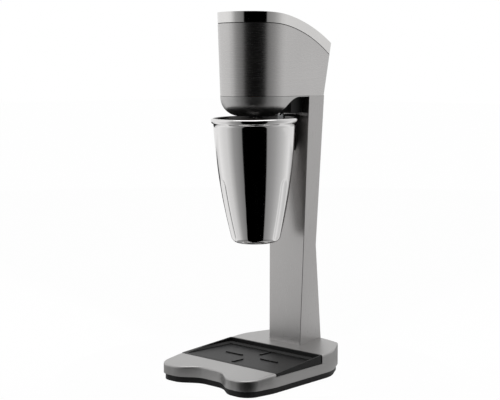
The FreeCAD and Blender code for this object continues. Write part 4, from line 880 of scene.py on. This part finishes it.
# --------------------------------------------------------------------------- studio
@dataclass
class Studio:
    """Floor, tent of pale and black cards, lamp and camera."""

    eye: Triple = (1.11865, -1.20738, 0.41008)
    heading: float = math.radians(43.21)
    dip: float = math.radians(5.98)
    lens: float = 89.23
    sensor: float = 36.0
    tent_radius: float = 2.7
    tent_height: float = 5.0
    card_level: float = 0.002
    floor_reach: float = 12.0
    floor_tone: float = 0.82
    floor_white: float = 0.985
    world_tone: float = 0.6
    apron_inner: float = 0.14
    carpet_inner: float = 0.27
    wall_tones: Sequence[tuple[float, float]] = (
        (-180, 0.90), (-100, 0.94), (-80, 0.86), (-62, 0.38), (-36, 0.20), (-34, 0.0), (34, 0.0),
        (36, 0.26), (60, 0.40), (90, 0.74), (120, 0.85), (180, 0.90))
    floor_tones: Sequence[tuple[float, float]] = (
        (-180, 0.02), (-152, 0.03), (-146, 0.72), (-122, 0.97), (-98, 0.80), (-84, 0.74),
        (-62, 0.36), (-36, 0.20), (-34, 0.0), (34, 0.0), (36, 0.26), (60, 0.38), (90, 0.62),
        (118, 0.90), (146, 0.50), (154, 0.03), (180, 0.02))
    apron_tones: Sequence[tuple[float, float]] = (
        (-180, 0.05), (-146, 0.30), (-90, 0.36), (-60, 0.22), (-36, 0.12), (-34, 0.0), (34, 0.0),
        (36, 0.15), (60, 0.25), (90, 0.42), (146, 0.30), (180, 0.05))

    ring_steps: int = 120
    lamp_place: Triple = (0.2, -0.2, 2.4)
    lamp_size: float = 2.4
    lamp_power: float = 18.0
    near_far: tuple[float, float] = (0.05, 50.0)

    def build(self) -> None:
        """Makes everything around the mixer."""
        self.camera()
        self.floor()
        self.world()
        self.tent()
        self.lamp()
        bpy.context.scene.view_settings.view_transform = "Standard"

    def camera(self) -> None:
        """Makes the camera."""
        data = bpy.data.cameras.new("camera")
        data.lens = self.lens
        data.sensor_width = self.sensor
        data.clip_start, data.clip_end = self.near_far
        camera = bpy.data.objects.new("camera", data)
        camera.location = self.eye
        gaze = Vector((-math.sin(self.heading) * math.cos(self.dip),
                       math.cos(self.heading) * math.cos(self.dip), -math.sin(self.dip)))
        camera.rotation_mode = "QUATERNION"
        camera.rotation_quaternion = gaze.to_track_quat("-Z", "Y")
        bpy.context.scene.collection.objects.link(camera)
        bpy.context.scene.camera = camera

    def floor(self) -> None:
        """Makes the pale floor."""
        mesh = bpy.data.meshes.new("floor")
        reach = self.floor_reach
        corners = [(-reach, -reach, 0), (reach, -reach, 0), (reach, reach, 0), (-reach, reach, 0)]
        mesh.from_pydata(corners, [], [(0, 1, 2, 3)])
        material, tree = new_tree("floor_pale")
        seen = seen_by(tree, "Is Camera Ray", "Is Transmission Ray")
        share = tree.add("ShaderNodeMath", {0: seen, 1: self.floor_white}, operation="MULTIPLY")
        pale = tree.add("ShaderNodeBsdfDiffuse", {"Color": grey(self.floor_tone)})
        white = tree.add("ShaderNodeEmission", {"Color": grey(1.0), "Strength": 1.0})
        mixed = tree.add("ShaderNodeMixShader", {
            0: share.outputs[0], 1: pale.outputs[0], 2: white.outputs[0]})
        tree.add("ShaderNodeOutputMaterial", {"Surface": mixed.outputs[0]})
        mesh.materials.append(material)
        floor = bpy.data.objects.new("floor", mesh)
        bpy.context.scene.collection.objects.link(floor)

    def world(self) -> None:
        """Makes the world white where it is seen and plain where it lights."""
        world = bpy.data.worlds.new("studio")
        bpy.context.scene.world = world
        world.use_nodes = True
        tree = Tree(world.node_tree)
        seen = seen_by(tree, "Is Camera Ray", "Is Transmission Ray", "Is Glossy Ray")
        plain = tree.add("ShaderNodeBackground", {"Color": grey(self.world_tone), "Strength": 1.0})
        white = tree.add("ShaderNodeBackground", {"Color": grey(1.0), "Strength": 1.0})
        mixed = tree.add("ShaderNodeMixShader", {
            0: seen, 1: plain.outputs[0], 2: white.outputs[0]})
        tree.add("ShaderNodeOutputWorld", {"Surface": mixed.outputs[0]})

    def tent(self) -> None:
        """Makes the cards that the metal mirrors, black on the camera's side."""
        level = self.card_level
        wall = [(self.tent_radius, level), (self.tent_radius, self.tent_height)]
        carpet = [(self.carpet_inner, level), (self.tent_radius, level)]
        apron = [(self.apron_inner, level), (self.carpet_inner, level)]
        self.ring("tent_wall", wall, self.wall_tones)
        self.ring("tent_floor", carpet, self.floor_tones)
        self.ring("tent_apron", apron, self.apron_tones)

    def ring(self, name: str, section: Section, tones: Sequence[tuple[float, float]]) -> None:
        """Makes one ring of cards round the mixer.

        Args:
            name: The ring's name.
            section: Radius and height of its two edges.
            tones: Brightness at angles round the mixer, from the camera's side.
        """
        steps = self.ring_steps
        points, faces = [], []
        for radius, level in section:
            for i in range(steps):
                turn = 2 * math.pi * i / steps
                points.append((radius * math.cos(turn), radius * math.sin(turn), level))
        for i in range(steps):
            j = (i + 1) % steps
            faces.append((j, i, i + steps, j + steps))
        mesh = mesh_of(name, points, faces)
        material, tree = new_tree(f"{name}_cards")
        place = tree.add("ShaderNodeTexCoord").outputs["Object"]
        facing = tree.add("ShaderNodeVectorRotate", {
            "Vector": place, "Angle": math.pi / 2 - self.heading},
            rotation_type="Z_AXIS")
        parts = tree.add("ShaderNodeSeparateXYZ", {0: facing.outputs[0]})
        turn = tree.add("ShaderNodeMath", {0: parts.outputs[1], 1: parts.outputs[0]},
                        operation="ARCTAN2")
        share = tree.add("ShaderNodeMapRange", {
            "Value": turn.outputs[0], "From Min": -math.pi, "From Max": math.pi})
        ramp = tree.add("ShaderNodeValToRGB", {"Fac": share.outputs[0]})
        stops = ramp.color_ramp.elements
        stops.remove(stops[1])
        stops[0].position = 0.0
        for degrees, tone in tones:
            at = (degrees + 180) / 360
            stop = stops[0] if degrees == -180 else stops.new(at)
            stop.color = grey(tone)
        glow = tree.add("ShaderNodeEmission", {"Color": ramp.outputs[0], "Strength": 1.0})
        tree.add("ShaderNodeOutputMaterial", {"Surface": glow.outputs[0]})
        mesh.materials.append(material)
        ring = linked_object(name, mesh)
        ring.visible_camera = False
        ring.visible_transmission = False
        ring.visible_shadow = False

    def lamp(self) -> None:
        """Makes the broad lamp overhead."""
        data = bpy.data.lights.new("overhead", "AREA")
        data.shape = "RECTANGLE"
        data.size, data.size_y = self.lamp_size, self.lamp_size
        data.energy = self.lamp_power
        lamp = bpy.data.objects.new("overhead", data)
        lamp.location = self.lamp_place
        bpy.context.scene.collection.objects.link(lamp)


def main() -> None:
    """Builds the studio and each sub-assembly in order."""
    Studio().build()
    groups = (Base(), DripTray(), Column(), Head(), Motor(), Agitator(), CupHolder(), MixingCup())
    for group in groups:
        group.build()
    bare = set(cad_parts) - {name for group in groups for name in group.FINISHES}
    if bare:
        raise ValueError(f"solids without a finish: {sorted(bare)}")


if __name__ == "__main__":
    main()
